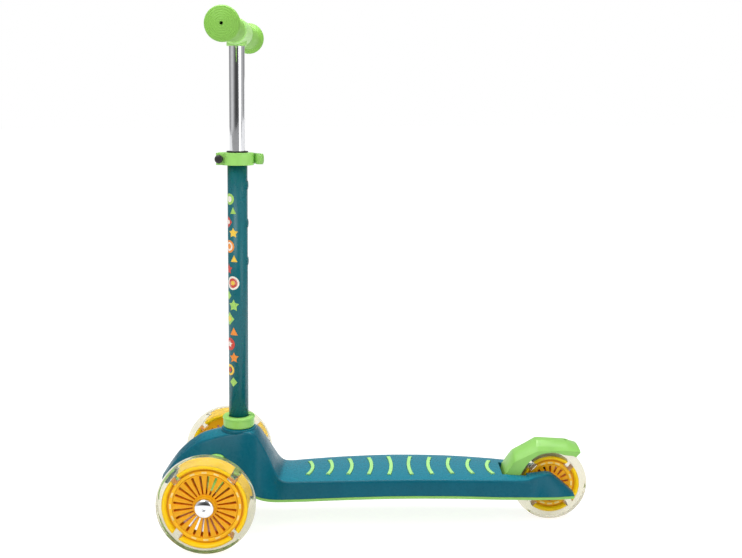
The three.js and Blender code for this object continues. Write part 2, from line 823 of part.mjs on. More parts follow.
const strips = [];
for (const end of [1, -1]) {
  for (let i = 0; i < stripsPerSide; i += 1) {
    const x = deckX(stripMiddleShare) + end * (stripGapPitch / 2 + stripPitch * i);
    const half = stripHalfLength - stripShortening * i;
    const bow = -end * (stripBow + stripBowStep * i);
    const top = deckTopAt(x + bow);
    const low = Math.min(deckTopAt(x), top) - stripSink;
    strips.push({ x, half, bow, low, high: top + stripRaise });
  }
}
strips.sort((a, b) => b.x - a.x);
strips.forEach((strip, i) => {
  const groove = upZ(stripOutline(strip.x, strip.half + seatGap, strip.bow, stripWidth + seatGap * 2),
    strip.low - seatGap, hoodHeight);
  deckShell = deckShell.subtract(groove);
  const solid = upZ(stripOutline(strip.x, strip.half, strip.bow, stripWidth), strip.low, strip.high);
  const number = String(i + 1).padStart(2, '0');
  addPiece(`grip_strip_${number}`, solid, finish(colours.stripGreen, 0.75, 0));
});
addPiece('deck_shell', deckShell, finish(colours.teal, 0.45, 0));

// Lower cover: its rim shows below the deck as a light green line
const plateStations = stations.filter((station) => station.x < housingRear);
function plateSections(inset, rise, fall) {
  return plateStations.map((station) => {
    const half = station.sideHalf - inset;
    const high = station.lower - seatGap + rise;
    const low = station.lower - trimHeight - fall;
    const points = [[half - plateDraft, low], [half, high], [-half, high], [plateDraft - half, low]];
    return { x: station.x, points: points2(points) };
  });
}
const plateBody = loft(plateSections(0, 0, 0));
const plateHollow = loft(plateSections(plateRim, overrun, -plateWall));
const plateSlot = slotCut.add(wellCut);
let underplate = plateBody.subtract(plateHollow).subtract(plateSlot);
const plateScrews = [];
for (const share of plateScrewShares) {
  for (const side of [1, -1]) {
    const bore = turnZ(rodProfile(plateScrewDiameter / 2 + seatGap, 0, hoodHeight), screwFlats);
    plateScrews.push(bore.translate(deckX(share), side * plateScrewY, 0));
  }
}
underplate = underplate.subtract(joined(plateScrews));
addPiece('deck_underplate', underplate, finish(colours.green, 0.5, 0));

// Axle housing: an arched cross beam, open below, with two ears and a web at each kingpin
const housingOuter = acrossY(housingArch(0, housingFoot), -housingHalfSpan, housingHalfSpan);
const housingInner = acrossY(housingArch(-housingWall, housingFoot - overrun), -housingHalfSpan - overrun,
  housingHalfSpan + overrun);
const housingShell = housingOuter.subtract(housingInner);
const earReach = barrelDiameter / 2 + eyeWall;
const webBack = barrelDiameter / 2 + eyeWall;
function kingpinBracket(side) {
  const earSpan = housingHalfSpan - kingpinY + webBack + housingWall;
  const earY = (housingHalfSpan - kingpinY - webBack - housingWall) / 2;
  const upper = block(earReach * 2, earSpan, earThickness, 0, earY, upperEarLow + earThickness / 2);
  const lower = block(earReach * 2, earSpan, earThickness, 0, earY, lowerEarHigh - earThickness / 2);
  const webHigh = upperEarLow + earThickness + housingRise;
  const webLow = lowerEarHigh - earThickness;
  const web = block(earReach * 2, housingWall, webHigh - webLow, 0, -webBack - housingWall / 2,
    (webHigh + webLow) / 2);
  const stays = [-1, 1].map((end) => block(housingWall, earSpan, webHigh - upperEarLow,
    end * (earReach - housingWall / 2), earY, (webHigh + upperEarLow) / 2));
  const bore = turnZ(rodProfile(kingpinDiameter / 2 + seatGap, webLow - overrun, webHigh), coarse);
  const bracket = joined([upper, lower, web, ...stays]).subtract(bore)
    .rotate([0, degrees(kingpinTilt), 0])
    .translate(0, kingpinY, frontAxleZ);
  return side > 0 ? bracket : bracket.mirror([0, 1, 0]);
}
const roofLine = acrossY(housingArch(-seatGap, -overrun), -housingHalfSpan, housingHalfSpan);
const brackets = joined([kingpinBracket(1), kingpinBracket(-1)]).intersect(roofLine);
const socketRoom = onStem(turnZ(rodProfile(socketOuter + runningGap, socketFloorZ - runningGap, handleHeight),
  medium));
addPiece('axle_housing', housingShell.add(brackets).subtract(socketRoom), finish(colours.green, 0.5, 0));

// Stem collar with a small key notch at its rear
const stemGroup = new THREE.Group();
stemGroup.position.set(stemX, 0, 0);
stemGroup.rotation.y = -stemRake;
scooter.add(stemGroup);
const stemRadius = stemDiameter / 2;
const collarRadius = collarDiameter / 2;
const collarCurve = collarShares.map(([r, z]) => [
  stemRadius + seatGap + (collarRadius - stemRadius - seatGap) * r,
  collarFoot + seatGap + collarRise * z,
]);
let collar = turnZ([...collarCurve, collarCurve[0]], rounded);
const collarTop = collarFoot + seatGap + collarRise;
collar = collar.subtract(block(collarRadius, keyWidth, keyDepth * 2, -collarRadius, 0, collarTop));
addPiece('stem_collar', collar, finish(colours.green, 0.45, 0), stemGroup);

// Stem tube with three height holes at its rear, each with a raised rim
const holeRadius = heightHoleDiameter / 2;
let stemTube = turnZ(ringProfile(stemRadius - stemWall, stemRadius, stemFoot, stemTop), medium);
const boreBody = turnZ(rodProfile(stemRadius - stemWall / 2, stemFoot, stemTop), medium);
for (let i = 0; i < heightHoles; i += 1) {
  const z = heightHoleTop - i * heightHolePitch;
  const rim = turnY(rodProfile(holeRimDiameter / 2, 0, stemRadius + holeRimRise), coarse)
    .rotate([0, 0, 90]).translate(0, 0, z).subtract(boreBody);
  const hole = turnY(rodProfile(holeRadius, 0, stemDiameter), coarse).rotate([0, 0, 90]).translate(0, 0, z);
  stemTube = stemTube.add(rim).subtract(hole);
}
addPiece('stem_tube', stemTube, finish(colours.tubeTeal, 0.35, 0.1), stemGroup);

// Dark guide bushing in the mouth of the stem tube
const postRadius = postDiameter / 2;
const bushingBore = postRadius + seatGap;
const bushing = turnZ([
  [bushingBore, stemTop - bushingDepth],
  [stemRadius - stemWall - seatGap, stemTop - bushingDepth],
  [stemRadius - stemWall - seatGap, stemTop + seatGap],
  [stemRadius + bushingRim / 2, stemTop + seatGap],
  [stemRadius + bushingRim / 2, stemTop + bushingRim],
  [bushingBore, stemTop + bushingRim],
  [bushingBore, stemTop - bushingDepth],
], medium);
addPiece('stem_bushing', bushing, finish(colours.black, 0.6, 0), stemGroup);

// Split clamp: a ring with two lugs in front, drawn together by the bolt
const clampInner = stemRadius + seatGap;
const clampOuter = clampInner + clampWall;
const clampLow = clampCentre - clampHeight / 2;
const clampHigh = clampCentre + clampHeight / 2;
const boltX = clampOuter + lugReach - boltInset;
const lugHalf = clampSlit / 2 + lugThickness;
const band = turnZ(ringProfile(clampInner, clampOuter, clampLow, clampHigh), medium);
const lugLength = lugReach + clampWall;
const lugMiddle = clampInner + lugLength / 2;
const lugs = block(lugLength, lugHalf * 2, clampHeight, lugMiddle, 0, clampCentre);
const slit = block(lugLength + overrun * 2, clampSlit, clampHeight * 2, lugMiddle, 0, clampCentre);
const clampBolt = crossRod(boltDiameter / 2 + seatGap, lugHalf + overrun, boltX, clampCentre);
const boreRoom = turnZ(rodProfile(clampInner, clampLow - overrun, clampHigh + overrun), medium);
addPiece('clamp_collar', band.add(lugs).subtract(joined([slit, clampBolt, boreRoom])),
  finish(colours.green, 0.45, 0), stemGroup);
const nutProfile = [
  [boltDiameter / 2 + seatGap, lugHalf + seatGap],
  [nutDiameter / 2, lugHalf + seatGap],
  [nutDiameter / 2, lugHalf + nutLength - nutRound],
  [nutDiameter / 2 - nutRound, lugHalf + nutLength],
  [0, lugHalf + nutLength],
  [0, lugHalf + nutLength - nutRound],
  [boltDiameter / 2 + seatGap, lugHalf + nutLength - nutRound],
  [boltDiameter / 2 + seatGap, lugHalf + seatGap],
];
addPiece('clamp_nut', turnY(nutProfile, coarse).translate(boltX, 0, clampCentre), finish(colours.black, 0.5, 0),
  stemGroup);

// The bolt ends in an eye that the lever's cam turns on
const camRadius = camDiameter / 2;
const camY = -lugHalf - camRadius - seatGap;
const shankTip = lugHalf + nutLength - nutRound - seatGap;
const shank = turnY(rodProfile(boltDiameter / 2, camY + leverPinDiameter, shankTip), coarse);
const pinFit = leverPinDiameter / 2 + seatGap;
const eye = turnZ(ringProfile(pinFit, boltDiameter, -eyeHalf, eyeHalf), coarse).translate(0, camY, 0);
const eyeBore = turnZ(rodProfile(pinFit, -leverHalf, leverHalf), coarse).translate(0, camY, 0);
const eyeBolt = shank.subtract(eyeBore).add(eye).translate(boltX, 0, clampCentre);
addPiece('clamp_bolt', eyeBolt, finish(colours.steel, 0.35, 1), stemGroup);
const leverPin = turnZ(rodProfile(leverPinDiameter / 2, -leverHalf, leverHalf), coarse);
addPiece('lever_pin', leverPin.translate(boltX, camY, clampCentre), finish(colours.steel, 0.35, 1), stemGroup);

// Quick release lever: a cam on the bolt's eye and an arm that wraps the clamp behind
const leverGroup = new THREE.Group();
leverGroup.position.set(boltX, camY, clampCentre);
stemGroup.add(leverGroup);
const sweepInner = clampOuter + leverGap;
const sweepMiddle = sweepInner + leverThickness / 2;
const leverPath = leverAngles.map((angle, i) => {
  const reach = sweepMiddle + leverTipReach * i / (leverAngles.length - 1);
  const turn = THREE.MathUtils.degToRad(angle);
  return new THREE.Vector3(reach * Math.cos(turn) - boltX, reach * Math.sin(turn) - camY, 0);
});
const leverCurve = new THREE.CatmullRomCurve3([new THREE.Vector3(0, -leverOffset, 0), ...leverPath]);
const leverPoints = leverCurve.getPoints(leverSteps);
const leverEdge = (side) => leverPoints.map((point, i) => {
  const tangent = leverCurve.getTangent(i / leverSteps);
  const grow = 1 + leverTipShare * (i / leverSteps) ** 3;
  const away = side * leverThickness / 2 * grow;
  return [point.x - tangent.y * away, point.y + tangent.x * away];
});
const leverOutline = [...leverEdge(1), ...leverEdge(-1).reverse()];
const leverSide = clampHeight / 2 - leverInset;
let lever = upZ(leverOutline, -leverSide, leverSide);
lever = lever.add(turnZ(rodProfile(camRadius, -leverSide, leverSide), coarse));
const tip = leverPoints[leverPoints.length - 1];
lever = lever.add(turnZ([
  [0, -leverSide],
  [leverTipRadius - leverInset, -leverSide],
  [leverTipRadius, -leverSide / 2],
  [leverTipRadius, leverSide / 2],
  [leverTipRadius - leverInset, leverSide],
  [0, leverSide],
], coarse).translate(tip.x, tip.y, 0));
const roomHalf = eyeHalf + runningGap;
const eyeRoom = block(camDiameter + overrun, camDiameter + overrun, roomHalf * 2,
  0, overrun / 2 + boltDiameter - camRadius);
const ringRoom = turnZ(rodProfile(boltDiameter + runningGap, -roomHalf, roomHalf), coarse);
const pinRoom = turnZ(rodProfile(pinFit, -clampHeight, clampHeight), coarse);
lever = lever.subtract(eyeRoom).subtract(ringRoom).subtract(pinRoom);
addPiece('clamp_lever', lever, finish(colours.green, 0.45, 0), leverGroup);

// Telescopic handle: chrome post, T piece, two grips and the sprung height button
const barZ = handleHeight / Math.cos(stemRake);
const postTop = barZ - jointDiameter / 2 + jointWall;
let post = turnZ(ringProfile(postRadius - postWall, postRadius, postFoot, postTop), medium);
const buttonRadius = holeRadius - seatGap * 2;
const buttonBore = turnY(rodProfile(buttonRadius + seatGap, 0, postDiameter), coarse).rotate([0, 0, 90])
  .translate(0, 0, heightHoleTop);
post = post.subtract(buttonBore);
addPiece('handle_post', post, finish(colours.chrome, 0.12, 1), stemGroup);

// Pressed in at rest; its spring can push it out through the grommet by its travel
const buttonReach = stemRadius - stemWall - seatGap;
const button = turnY([
  [0, postRadius - postWall - seatGap],
  [buttonRadius, postRadius - postWall - seatGap],
  [buttonRadius, buttonReach - buttonRadius / 2],
  [buttonRadius * buttonDomeShare, buttonReach - buttonRadius / 6],
  [0, buttonReach],
], coarse).rotate([0, 0, 90]).translate(0, 0, heightHoleTop);
// The flange stops short of the post's inner wall when the button is fully out
const postInner = postRadius - postWall;
const footRadius = buttonRadius + buttonFlange;
const flangeSeat = Math.sqrt(postInner ** 2 - footRadius ** 2) * Math.cos(Math.PI / medium) - seatGap;
const flangeLow = flangeSeat - buttonTravel - buttonFlange;
const buttonFoot = turnY([
  [0, flangeLow],
  [footRadius, flangeLow],
  [footRadius, flangeLow + buttonFlange],
  [buttonRadius, flangeLow + buttonFlange],
  [buttonRadius, postRadius - postWall],
  [0, postRadius - postWall],
], coarse).rotate([0, 0, 90]).translate(0, 0, heightHoleTop);
addPiece('height_button', button.add(buttonFoot), finish(colours.rust, 0.5, 0), stemGroup);
const springFoot = seatGap - Math.sqrt(postInner ** 2 - buttonRadius ** 2) * Math.cos(Math.PI / medium);
const springTube = ringProfile(buttonRadius - springWire, buttonRadius, springFoot, flangeLow - seatGap);
const buttonSpring = turnY(springTube, coarse).rotate([0, 0, 90]).translate(0, 0, heightHoleTop);
addPiece('button_spring', buttonSpring, finish(colours.steel, 0.4, 1), stemGroup);

const barRadius = barDiameter / 2;
const barHalf = gripSpan / 2;
const jointRadius = jointDiameter / 2;
const jointBody = turnY([
  [0, -jointHalfLength],
  [jointRadius - jointRound, -jointHalfLength],
  [jointRadius, jointRound - jointHalfLength],
  [jointRadius, jointHalfLength - jointRound],
  [jointRadius - jointRound, jointHalfLength],
  [0, jointHalfLength],
], medium);
const sleeve = turnZ(rodProfile(postRadius + jointWall, -jointSleeve, 0), medium);
const postRoom = turnZ(rodProfile(postRadius + seatGap, -handleHeight, postTop - barZ + seatGap), medium);
const barRoom = turnY(rodProfile(barRadius + seatGap, -barHalf, barHalf), medium);
addPiece('handle_joint', jointBody.add(sleeve).subtract(postRoom).subtract(barRoom).translate(0, 0, barZ),
  finish(colours.green, 0.45, 0), stemGroup);
const barEnd = barHalf - gripDome * 2;
const bar = turnY(ringProfile(barRadius - postWall, barRadius, -barEnd, barEnd), medium);
addPiece('handle_bar', bar.translate(0, 0, barZ), finish(colours.steel, 0.35, 1), stemGroup);

// Ribbed grip with a wide flange and a domed end that has concentric steps and a vent
const gripRadius = gripDiameter / 2;
const flangeRadius = gripFlangeDiameter / 2;
const gripStart = jointHalfLength + seatGap;
const ribRun = barHalf - flangeWidth * 2 - gripStart;
const gripProfile = [[barRadius + seatGap, gripStart], [gripRadius - gripRibHeight, gripStart]];
for (let i = 0; i < gripRibs; i += 1) {
  const y = gripStart + ribRun * (i + ribMarginShare) / gripRibs;
  const end = gripStart + ribRun * (i + 1 - ribMarginShare) / gripRibs;
  gripProfile.push([gripRadius - gripRibHeight, y], [gripRadius, y + gripRibHeight], [gripRadius, end]);
}
gripProfile.push(
  [gripRadius, barHalf - flangeWidth * 2],
  [flangeRadius, barHalf - flangeWidth],
  [flangeRadius, barHalf - flangeWidth / 4],
  [flangeRadius * domeStepShares[0], barHalf + gripDome * domeStepShares[1]],
  [ventDiameter / 2, barHalf + gripDome],
  [ventDiameter / 2, barHalf - gripDome],
  [barRadius + seatGap, barHalf - gripDome],
  [barRadius + seatGap, gripStart],
);
for (const [name, side] of [['left', 1], ['right', -1]]) {
  const grip = turnY(gripProfile, medium).scale([1, side, 1]);
  addPiece(`grip_${name}`, grip.translate(0, 0, barZ), finish(colours.gripGreen, 0.7, 0), stemGroup);
}

// Rear axle and brake pin, held between the fork arms
const rearAxle = crossRod(axleDiameter / 2, axleHalf, -wheelBase, rearAxleZ);
addPiece('rear_axle', rearAxle, finish(colours.steel, 0.35, 1));
const pin = crossRod(brakePin / 2, brakePinHalf, brakeX, brakeZ);
addPiece('brake_pin', pin, finish(colours.steel, 0.35, 1));

// Foot brake: a hollow mudguard with a narrow roof and flared cheeks over the rear wheel
const fenderFront = fenderReach - wheelBase;
const fenderBack = -wheelBase - fenderTail;
const fenderFoot = rearAxleZ + fenderLift;
const fenderTop = rearWheel.diameter + fenderCrest;
const fenderLength = fenderFront - fenderBack;
const fenderRise = fenderTop - fenderFoot;
const fenderMiddle = (fenderFront + fenderBack) / 2;

function fenderPoint([x, z]) {
  return [fenderFront - x * fenderLength, fenderFoot + z * fenderRise];
}

// The roof line drops towards the cheeks: level 0 is the roof, level 1 a cheek's edge
function roofLineAt(level, inset) {
  const squeeze = 1 - inset * 2 / fenderLength;
  return fenderRoofShares.map(([x, z, drop]) => {
    const [px, pz] = fenderPoint([x, z]);
    return [fenderMiddle + (px - fenderMiddle) * squeeze, pz - drop * cheekDrop * level - inset];
  });
}

// Joins outlines in X and Z, each at its own place across Y
function loftAcross(outlines) {
  return loft(outlines.map(({ y, points }) => ({ x: y, points: points2(points) }))).mirror([1, -1, 0]);
}

function cheekStations(half) {
  const steps = cheekShares.map(([y, level]) => ({ y: half * y, level }));
  return [...steps.map(({ y, level }) => ({ y: -y, level })).reverse(), ...steps];
}

const fenderArch = new THREE.SplineCurve(points2(fenderArchShares.map(fenderPoint))).getPoints(fenderArchSteps)
  .map((point) => [point.x, point.y]);
const fenderBody = loftAcross(cheekStations(fenderHalfWidth).map(({ y, level }) => (
  { y, points: [...roofLineAt(level, 0), ...fenderArch] }
)));
const fenderHollow = loftAcross(cheekStations(fenderHalfWidth - fenderWall).map(({ y, level }) => {
  const roof = roofLineAt(level, fenderWall);
  const low = fenderFoot - overrun;
  return { y, points: [[roof[0][0], low], ...roof.slice(1), [roof[roof.length - 1][0], low]] };
}));
const brakePinRoom = crossRod(brakePin / 2 + seatGap, fenderHalfWidth * 2, brakeX, brakeZ);
const fenderScrew = turnZ(rodProfile(fenderScrewDiameter / 2, 0, fenderTop), coarse)
  .translate(-wheelBase - fenderScrewReach, 0, 0);
// The tyre stays clear of the roof and lip when the brake is pressed right down
const shoeGap = rearWheel.diameter / 2 + brakeGap;
const innerHalf = fenderHalfWidth - fenderWall;
const tyreRoom = turnY(rodProfile(shoeGap, -innerHalf, innerHalf), fine).translate(-wheelBase, 0, rearAxleZ);
addPiece('brake_fender',
  fenderBody.subtract(joined([fenderHollow, brakePinRoom, fenderScrew, tyreRoom])),
  finish(colours.green, 0.45, 0));

// Brake shoe under the roof, hollowed to the tyre's round
const shoeBlock = block(shoeLength, padWidth, fenderRise, -wheelBase, 0, fenderTop - fenderRise / 2)
  .intersect(loftAcross(cheekStations(fenderHalfWidth - fenderWall).map(({ y, level }) => {
    const roof = roofLineAt(level, fenderWall + seatGap);
    const low = fenderFoot - overrun;
    return { y, points: [[roof[0][0], low], ...roof.slice(1), [roof[roof.length - 1][0], low]] };
  })));
addPiece('brake_shoe', shoeBlock.subtract(tyreRoom), finish(colours.rubber, 0.8, 0));

// Torsion spring of the brake, wound round its pin
const coilRadius = (brakePin / 2 + springWire / 2 + seatGap) / Math.cos(Math.PI / coilTurnSteps);
const springTurns = [];
for (let i = 0; i <= coilTurns * coilTurnSteps; i += 1) {
  const angle = i / coilTurnSteps * Math.PI * 2;
  springTurns.push(new THREE.Vector3(
    brakeX + coilRadius * Math.cos(angle),
    coilStart + coilPitch * i / coilTurnSteps,
    brakeZ + coilRadius * Math.sin(angle),
  ));
}
const wireSection = [];
for (let i = 0; i < coilSides; i += 1) {
  const angle = i / coilSides * Math.PI * 2;
  wireSection.push(new THREE.Vector2(springWire / 2 * Math.cos(angle), springWire / 2 * Math.sin(angle)));
}
const springGeometry = new THREE.ExtrudeGeometry(new THREE.Shape(wireSection), {
  steps: coilTurns * coilTurnSteps,
  extrudePath: new THREE.CatmullRomCurve3(springTurns),
  bevelEnabled: false,
});
addPiece('brake_spring', solidOf(springGeometry), finish(colours.steel, 0.4, 1));

// The origin lies under the middle of the bounding box
scooter.position.x = (wheelBase + rearWheel.diameter / 2 - noseReach) / 2;

export default scooter;
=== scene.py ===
import math

import bmesh
import bpy
from mathutils import Matrix, Vector


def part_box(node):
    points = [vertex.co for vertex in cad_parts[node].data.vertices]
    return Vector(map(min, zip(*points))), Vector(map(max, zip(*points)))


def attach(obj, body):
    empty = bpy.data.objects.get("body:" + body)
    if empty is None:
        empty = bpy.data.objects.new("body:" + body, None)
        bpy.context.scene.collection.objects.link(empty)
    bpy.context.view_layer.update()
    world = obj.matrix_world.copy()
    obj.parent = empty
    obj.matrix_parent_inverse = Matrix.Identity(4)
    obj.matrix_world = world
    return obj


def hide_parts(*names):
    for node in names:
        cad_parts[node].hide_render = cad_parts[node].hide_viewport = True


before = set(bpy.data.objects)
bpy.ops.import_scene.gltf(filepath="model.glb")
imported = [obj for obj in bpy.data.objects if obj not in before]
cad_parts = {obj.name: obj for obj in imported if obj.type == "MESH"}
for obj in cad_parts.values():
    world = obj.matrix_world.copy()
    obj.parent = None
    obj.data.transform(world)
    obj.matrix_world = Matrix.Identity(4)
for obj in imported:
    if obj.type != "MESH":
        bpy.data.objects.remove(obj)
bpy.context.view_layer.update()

# The looks of a three wheel kids scooter that steers by leaning. Sizes are in
# millimetres and become metres in the mesh helpers. +X points forwards, +Y to the
# rider's left and +Z up, as in the frame.
MM = 0.001
GAP = 0.3


# Places taken from the frame

def node_box(name):
    low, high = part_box(name)
    return [v / MM for v in low], [v / MM for v in high]


def middle(name):
    low, high = node_box(name)
    return [(a + b) / 2 for a, b in zip(low, high)]


AXLE_X, LEFT_Y, AXLE_Z = middle("front_left_tyre")
REAR_X, _, REAR_Z = middle("rear_tyre")
PIN_X, _, PIN_Z = middle("brake_pin")

# Wheels
FRONT = {"diameter": 125, "width": 26, "core": 108, "slots": 24}
REAR = {"diameter": 100, "width": 24, "core": 78, "slots": 18}
WEB_SHARE = 0.3
HUB, BEARING_SEAT = 27.6, 22.6
RIM_WIDTH, RIM_STEP, RIM_ROUND = 6, 1.6, 1.8
GROOVE, GROOVE_DEPTH = 7, 2.6
SLOT_WIDTH, SLOT_INNER_SHARE = 3.3, 0.55
NOTCHES, NOTCH_WIDTH, NOTCH_DEPTH = 4, 10.6, 8
LUG_INSET = 2.4
TYRE_ROUND, TYRE_POWER, TYRE_INSET, TYRE_STEPS = 7, 0.55, 0.8, 32
LIGHTS, LIGHT_SPREAD, LIGHT_RING_HEIGHT = 12, math.radians(20), 1.9

# Stem, clamp and handlebar, with heights along the stem
STEM_X, STEM_RAKE = 184.2, math.radians(0.92)
TUBE_RADIUS, TUBE_FOOT, TUBE_TOP = 13, 90, 496
POST_RADIUS, POST_FOOT = 10, 420
PIPE_WALL = 1.5
TUBE_ROOM, POST_ROOM = TUBE_RADIUS + GAP, POST_RADIUS + GAP
COLLAR_FOOT, COLLAR_TOP = 129.8, 145
CLAMP_FOOT, CLAMP_TOP = 480, 496
HOLES, HOLE_RADIUS = (454, 404, 354), 3.5
BAR_Z, BAR_HALF = 650.08, 131
JOINT_RADIUS, JOINT_HALF = 17, 34
GRIP_RADIUS, FLANGE_RADIUS = 15.5, 21.25

# Rear end of the deck: the wheel's slot and the mudguard's well
SLOT_HALF, WHEEL_ROOM = 15, 53
WELL_BACK, WELL_FRONT, WELL_HALF = -202.5, -169.5, 23
# Half widths and heights past the deck and hood, for cuts that go right through them
ACROSS, OVER = 129, 129


# Frames along the raked stem

STEM_FRAME = Matrix.Translation((STEM_X * MM, 0, 0)) @ Matrix.Rotation(-STEM_RAKE, 4, "Y")


def up_stem(z, x=0):
    return STEM_FRAME @ Matrix.Translation((x * MM, 0, z * MM))


def hole_frame(z):
    """A frame whose Z axis points forwards from the stem's axis at a height."""
    return up_stem(z) @ Matrix.Rotation(math.pi / 2, 4, "Y")


BAR_FRAME = up_stem(BAR_Z)
CLAMP_FRAME = up_stem((CLAMP_FOOT + CLAMP_TOP) / 2, 21.5)


# Meshes

def loose_mesh(name, verts, faces, matrix=None):
    """A new mesh of points in millimetres."""
    data = bpy.data.meshes.new(name)
    data.from_pydata([tuple(c * MM for c in v) for v in verts], [], faces)
    bm = bmesh.new()
    bm.from_mesh(data)
    bmesh.ops.remove_doubles(bm, verts=bm.verts, dist=1e-6)
    bmesh.ops.recalc_face_normals(bm, faces=bm.faces)
    if matrix is not None:
        bm.transform(matrix)
    bm.to_mesh(data)
    bm.free()
    piece = bpy.data.objects.new(name, data)
    bpy.context.scene.collection.objects.link(piece)
    return piece


def dress(piece, material, body, replaces=()):
    piece.data.materials.clear()
    piece.data.materials.append(material)
    piece.data.shade_smooth()
    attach(piece, body)
    if replaces:
        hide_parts(*replaces)
    return piece


def mesh_piece(name, verts, faces, material, body, slot, replaces=(), matrix=None):
    """A new mesh that shows and rides on a body."""
    return dress(loose_mesh(name, verts, faces, matrix), material, body, replaces)


def apply_modifier(piece, modifier):
    bpy.context.view_layer.objects.active = piece
    with bpy.context.temp_override(object=piece, active_object=piece, selected_objects=[piece]):
        bpy.ops.object.modifier_apply(modifier=modifier.name)


def cut(piece, cutter, operation="DIFFERENCE"):
    """Cuts, joins or intersects with another mesh, which is then gone."""
    modifier = piece.modifiers.new("cut", "BOOLEAN")
    modifier.operation = operation
    modifier.solver = "EXACT"
    modifier.object = cutter
    apply_modifier(piece, modifier)
    bpy.data.objects.remove(cutter)


def soften(piece, width, segments=3, angle=32):
    """Rounds the sharp edges a little, as a mould does."""
    bevel = piece.modifiers.new("bevel", "BEVEL")
    bevel.width = width * MM
    bevel.segments = segments
    bevel.limit_method = "ANGLE"
    bevel.angle_limit = math.radians(angle)
    bevel.harden_normals = True
    apply_modifier(piece, bevel)
    return piece


def grid_faces(rows, columns, closed_rows=False):
    """Quads between rows of equally many points, where each row is a closed loop."""
    faces = []
    for r in range(rows if closed_rows else rows - 1):
        for c in range(columns):
            here, below = r * columns, (r + 1) % rows * columns
            after = (c + 1) % columns
            faces.append((here + c, here + after, below + after, below + c))
    return faces


def turned(profile, flats=96, axis="Z", closed=True):
    """Revolves [radius, height] pairs, and returns points and faces."""
    verts = []
    for r, h in profile:
        for i in range(flats):
            a = 2 * math.pi * i / flats
            across, up = r * math.cos(a), r * math.sin(a)
            verts.append((across, up, h) if axis == "Z" else (across, h, -up))
    return verts, grid_faces(len(profile), flats, closed_rows=closed)


def merged(meshes):
    """The points and faces of several meshes as those of one."""
    verts, faces = [], []
    for points, quads in meshes:
        faces += [tuple(i + len(verts) for i in quad) for quad in quads]
        verts += points
    return verts, faces


def lofted(rows):
    """Points and faces of a solid through rows of equally many points, with flat ends."""
    count = len(rows[0])
    verts = [point for row in rows for point in row]
    last = len(verts) - 1
    ends = [tuple(range(count)), tuple(range(last, last - count, -1))]
    return verts, grid_faces(len(rows), count) + ends


def extruded(outline, low, high, axis="Y"):
    """Points and faces of an outline in X and Z drawn across Y, or in X and Y drawn up Z."""
    return lofted([[(u, end, v) if axis == "Y" else (u, v, end) for u, v in outline] for end in (low, high)])


def rod_mesh(name, radius, low, high, flats=64, axis="Y", matrix=None, centre=(0, 0, 0)):
    """A plain rod, for cutting and joining."""
    verts, _ = turned([(radius, low), (radius, high)], flats, axis, closed=False)
    verts = [tuple(a + b for a, b in zip(point, centre)) for point in verts]
    return loose_mesh(name, *lofted([verts[:flats], verts[flats:]]), matrix)


def bar_mesh(name, low, high, matrix=None):
    """A box, for cutting and joining."""
    verts = [(x, y, z) for x in (low[0], high[0]) for y in (low[1], high[1]) for z in (low[2], high[2])]
    faces = [(0, 1, 3, 2), (4, 6, 7, 5), (0, 4, 5, 1), (2, 3, 7, 6), (0, 2, 6, 4), (1, 5, 7, 3)]
    return loose_mesh(name, verts, faces, matrix)


def rounded(profile, radius, steps=4, closed=True):
    """The profile with every corner turned into a small curve."""
    count = len(profile)
    out = []
    for i, point in enumerate(profile):
        if not closed and i in (0, count - 1):
            out.append(tuple(point))
            continue
        here = Vector(point)
        sides = [Vector(profile[j % count]) - here for j in (i - 1, i + 1)]
        reach = min([radius] + [side.length * 0.45 for side in sides])
        start, end = (here + side.normalized() * reach for side in sides)
        out += [tuple(arc_point(start, here, end, s / steps)) for s in range(steps + 1)]
    return out


def arc_point(start, corner, end, t):
    return start * (1 - t) ** 2 + corner * 2 * t * (1 - t) + end * t ** 2


def ring(inner, outer, low, high):
    return [(inner, low), (outer, low), (outer, high), (inner, high)]


def catmull(points, steps):
    """A smooth line through the points."""
    out = []
    ext = [points[0]] + list(points) + [points[-1]]
    for i in range(1, len(ext) - 2):
        p0, p1, p2, p3 = (Vector(p) for p in ext[i - 1:i + 3])
        for s in range(steps):
            t = s / steps
            out.append(tuple(0.5 * (2 * p1 + (p2 - p0) * t + (2 * p0 - 5 * p1 + 4 * p2 - p3) * t ** 2
                                    + (3 * p1 - p0 - 3 * p2 + p3) * t ** 3)))
    out.append(tuple(points[-1]))
    return out


def refined(node, name, material, body, width=0.6, segments=3, angle=40, within=None):
    """A copy of a CAD node with rounded edges, and trimmed to an outline if there is one."""
    piece = bpy.data.objects.new(name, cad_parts[node].data.copy())
    bpy.context.scene.collection.objects.link(piece)
    bm = bmesh.new()
    bm.from_mesh(piece.data)
    bmesh.ops.remove_doubles(bm, verts=bm.verts, dist=2e-6)
    bmesh.ops.dissolve_limit(bm, angle_limit=math.radians(1), verts=bm.verts, edges=bm.edges)
    bm.to_mesh(piece.data)
    bm.free()
    if within:
        cut(piece, loose_mesh("within", *extruded(within, -ACROSS - 2, ACROSS + 2)), "INTERSECT")
    dress(piece, material, body, [node])
    return soften(piece, width, segments, angle)


# Materials

def hex_colour(text):
    """A linear colour from the usual six letters."""
    parts = [int(text[i:i + 2], 16) / 255 for i in (0, 2, 4)]
    return [c / 12.92 if c <= 0.04045 else ((c + 0.055) / 1.055) ** 2.4 for c in parts] + [1]


def shade(colour, factor):
    return [min(1, c * factor) for c in colour[:3]] + [1]


def new_material(name):
    material = bpy.data.materials.new(name)
    material.use_nodes = True
    tree = material.node_tree
    return material, tree, tree.nodes["Principled BSDF"]


def set_inputs(tree, node, inputs):
    """Gives a node's inputs their values, or links them to other nodes' outputs."""
    for place, value in inputs.items():
        if isinstance(value, bpy.types.NodeSocket):
            tree.links.new(value, node.inputs[place])
        else:
            node.inputs[place].default_value = value


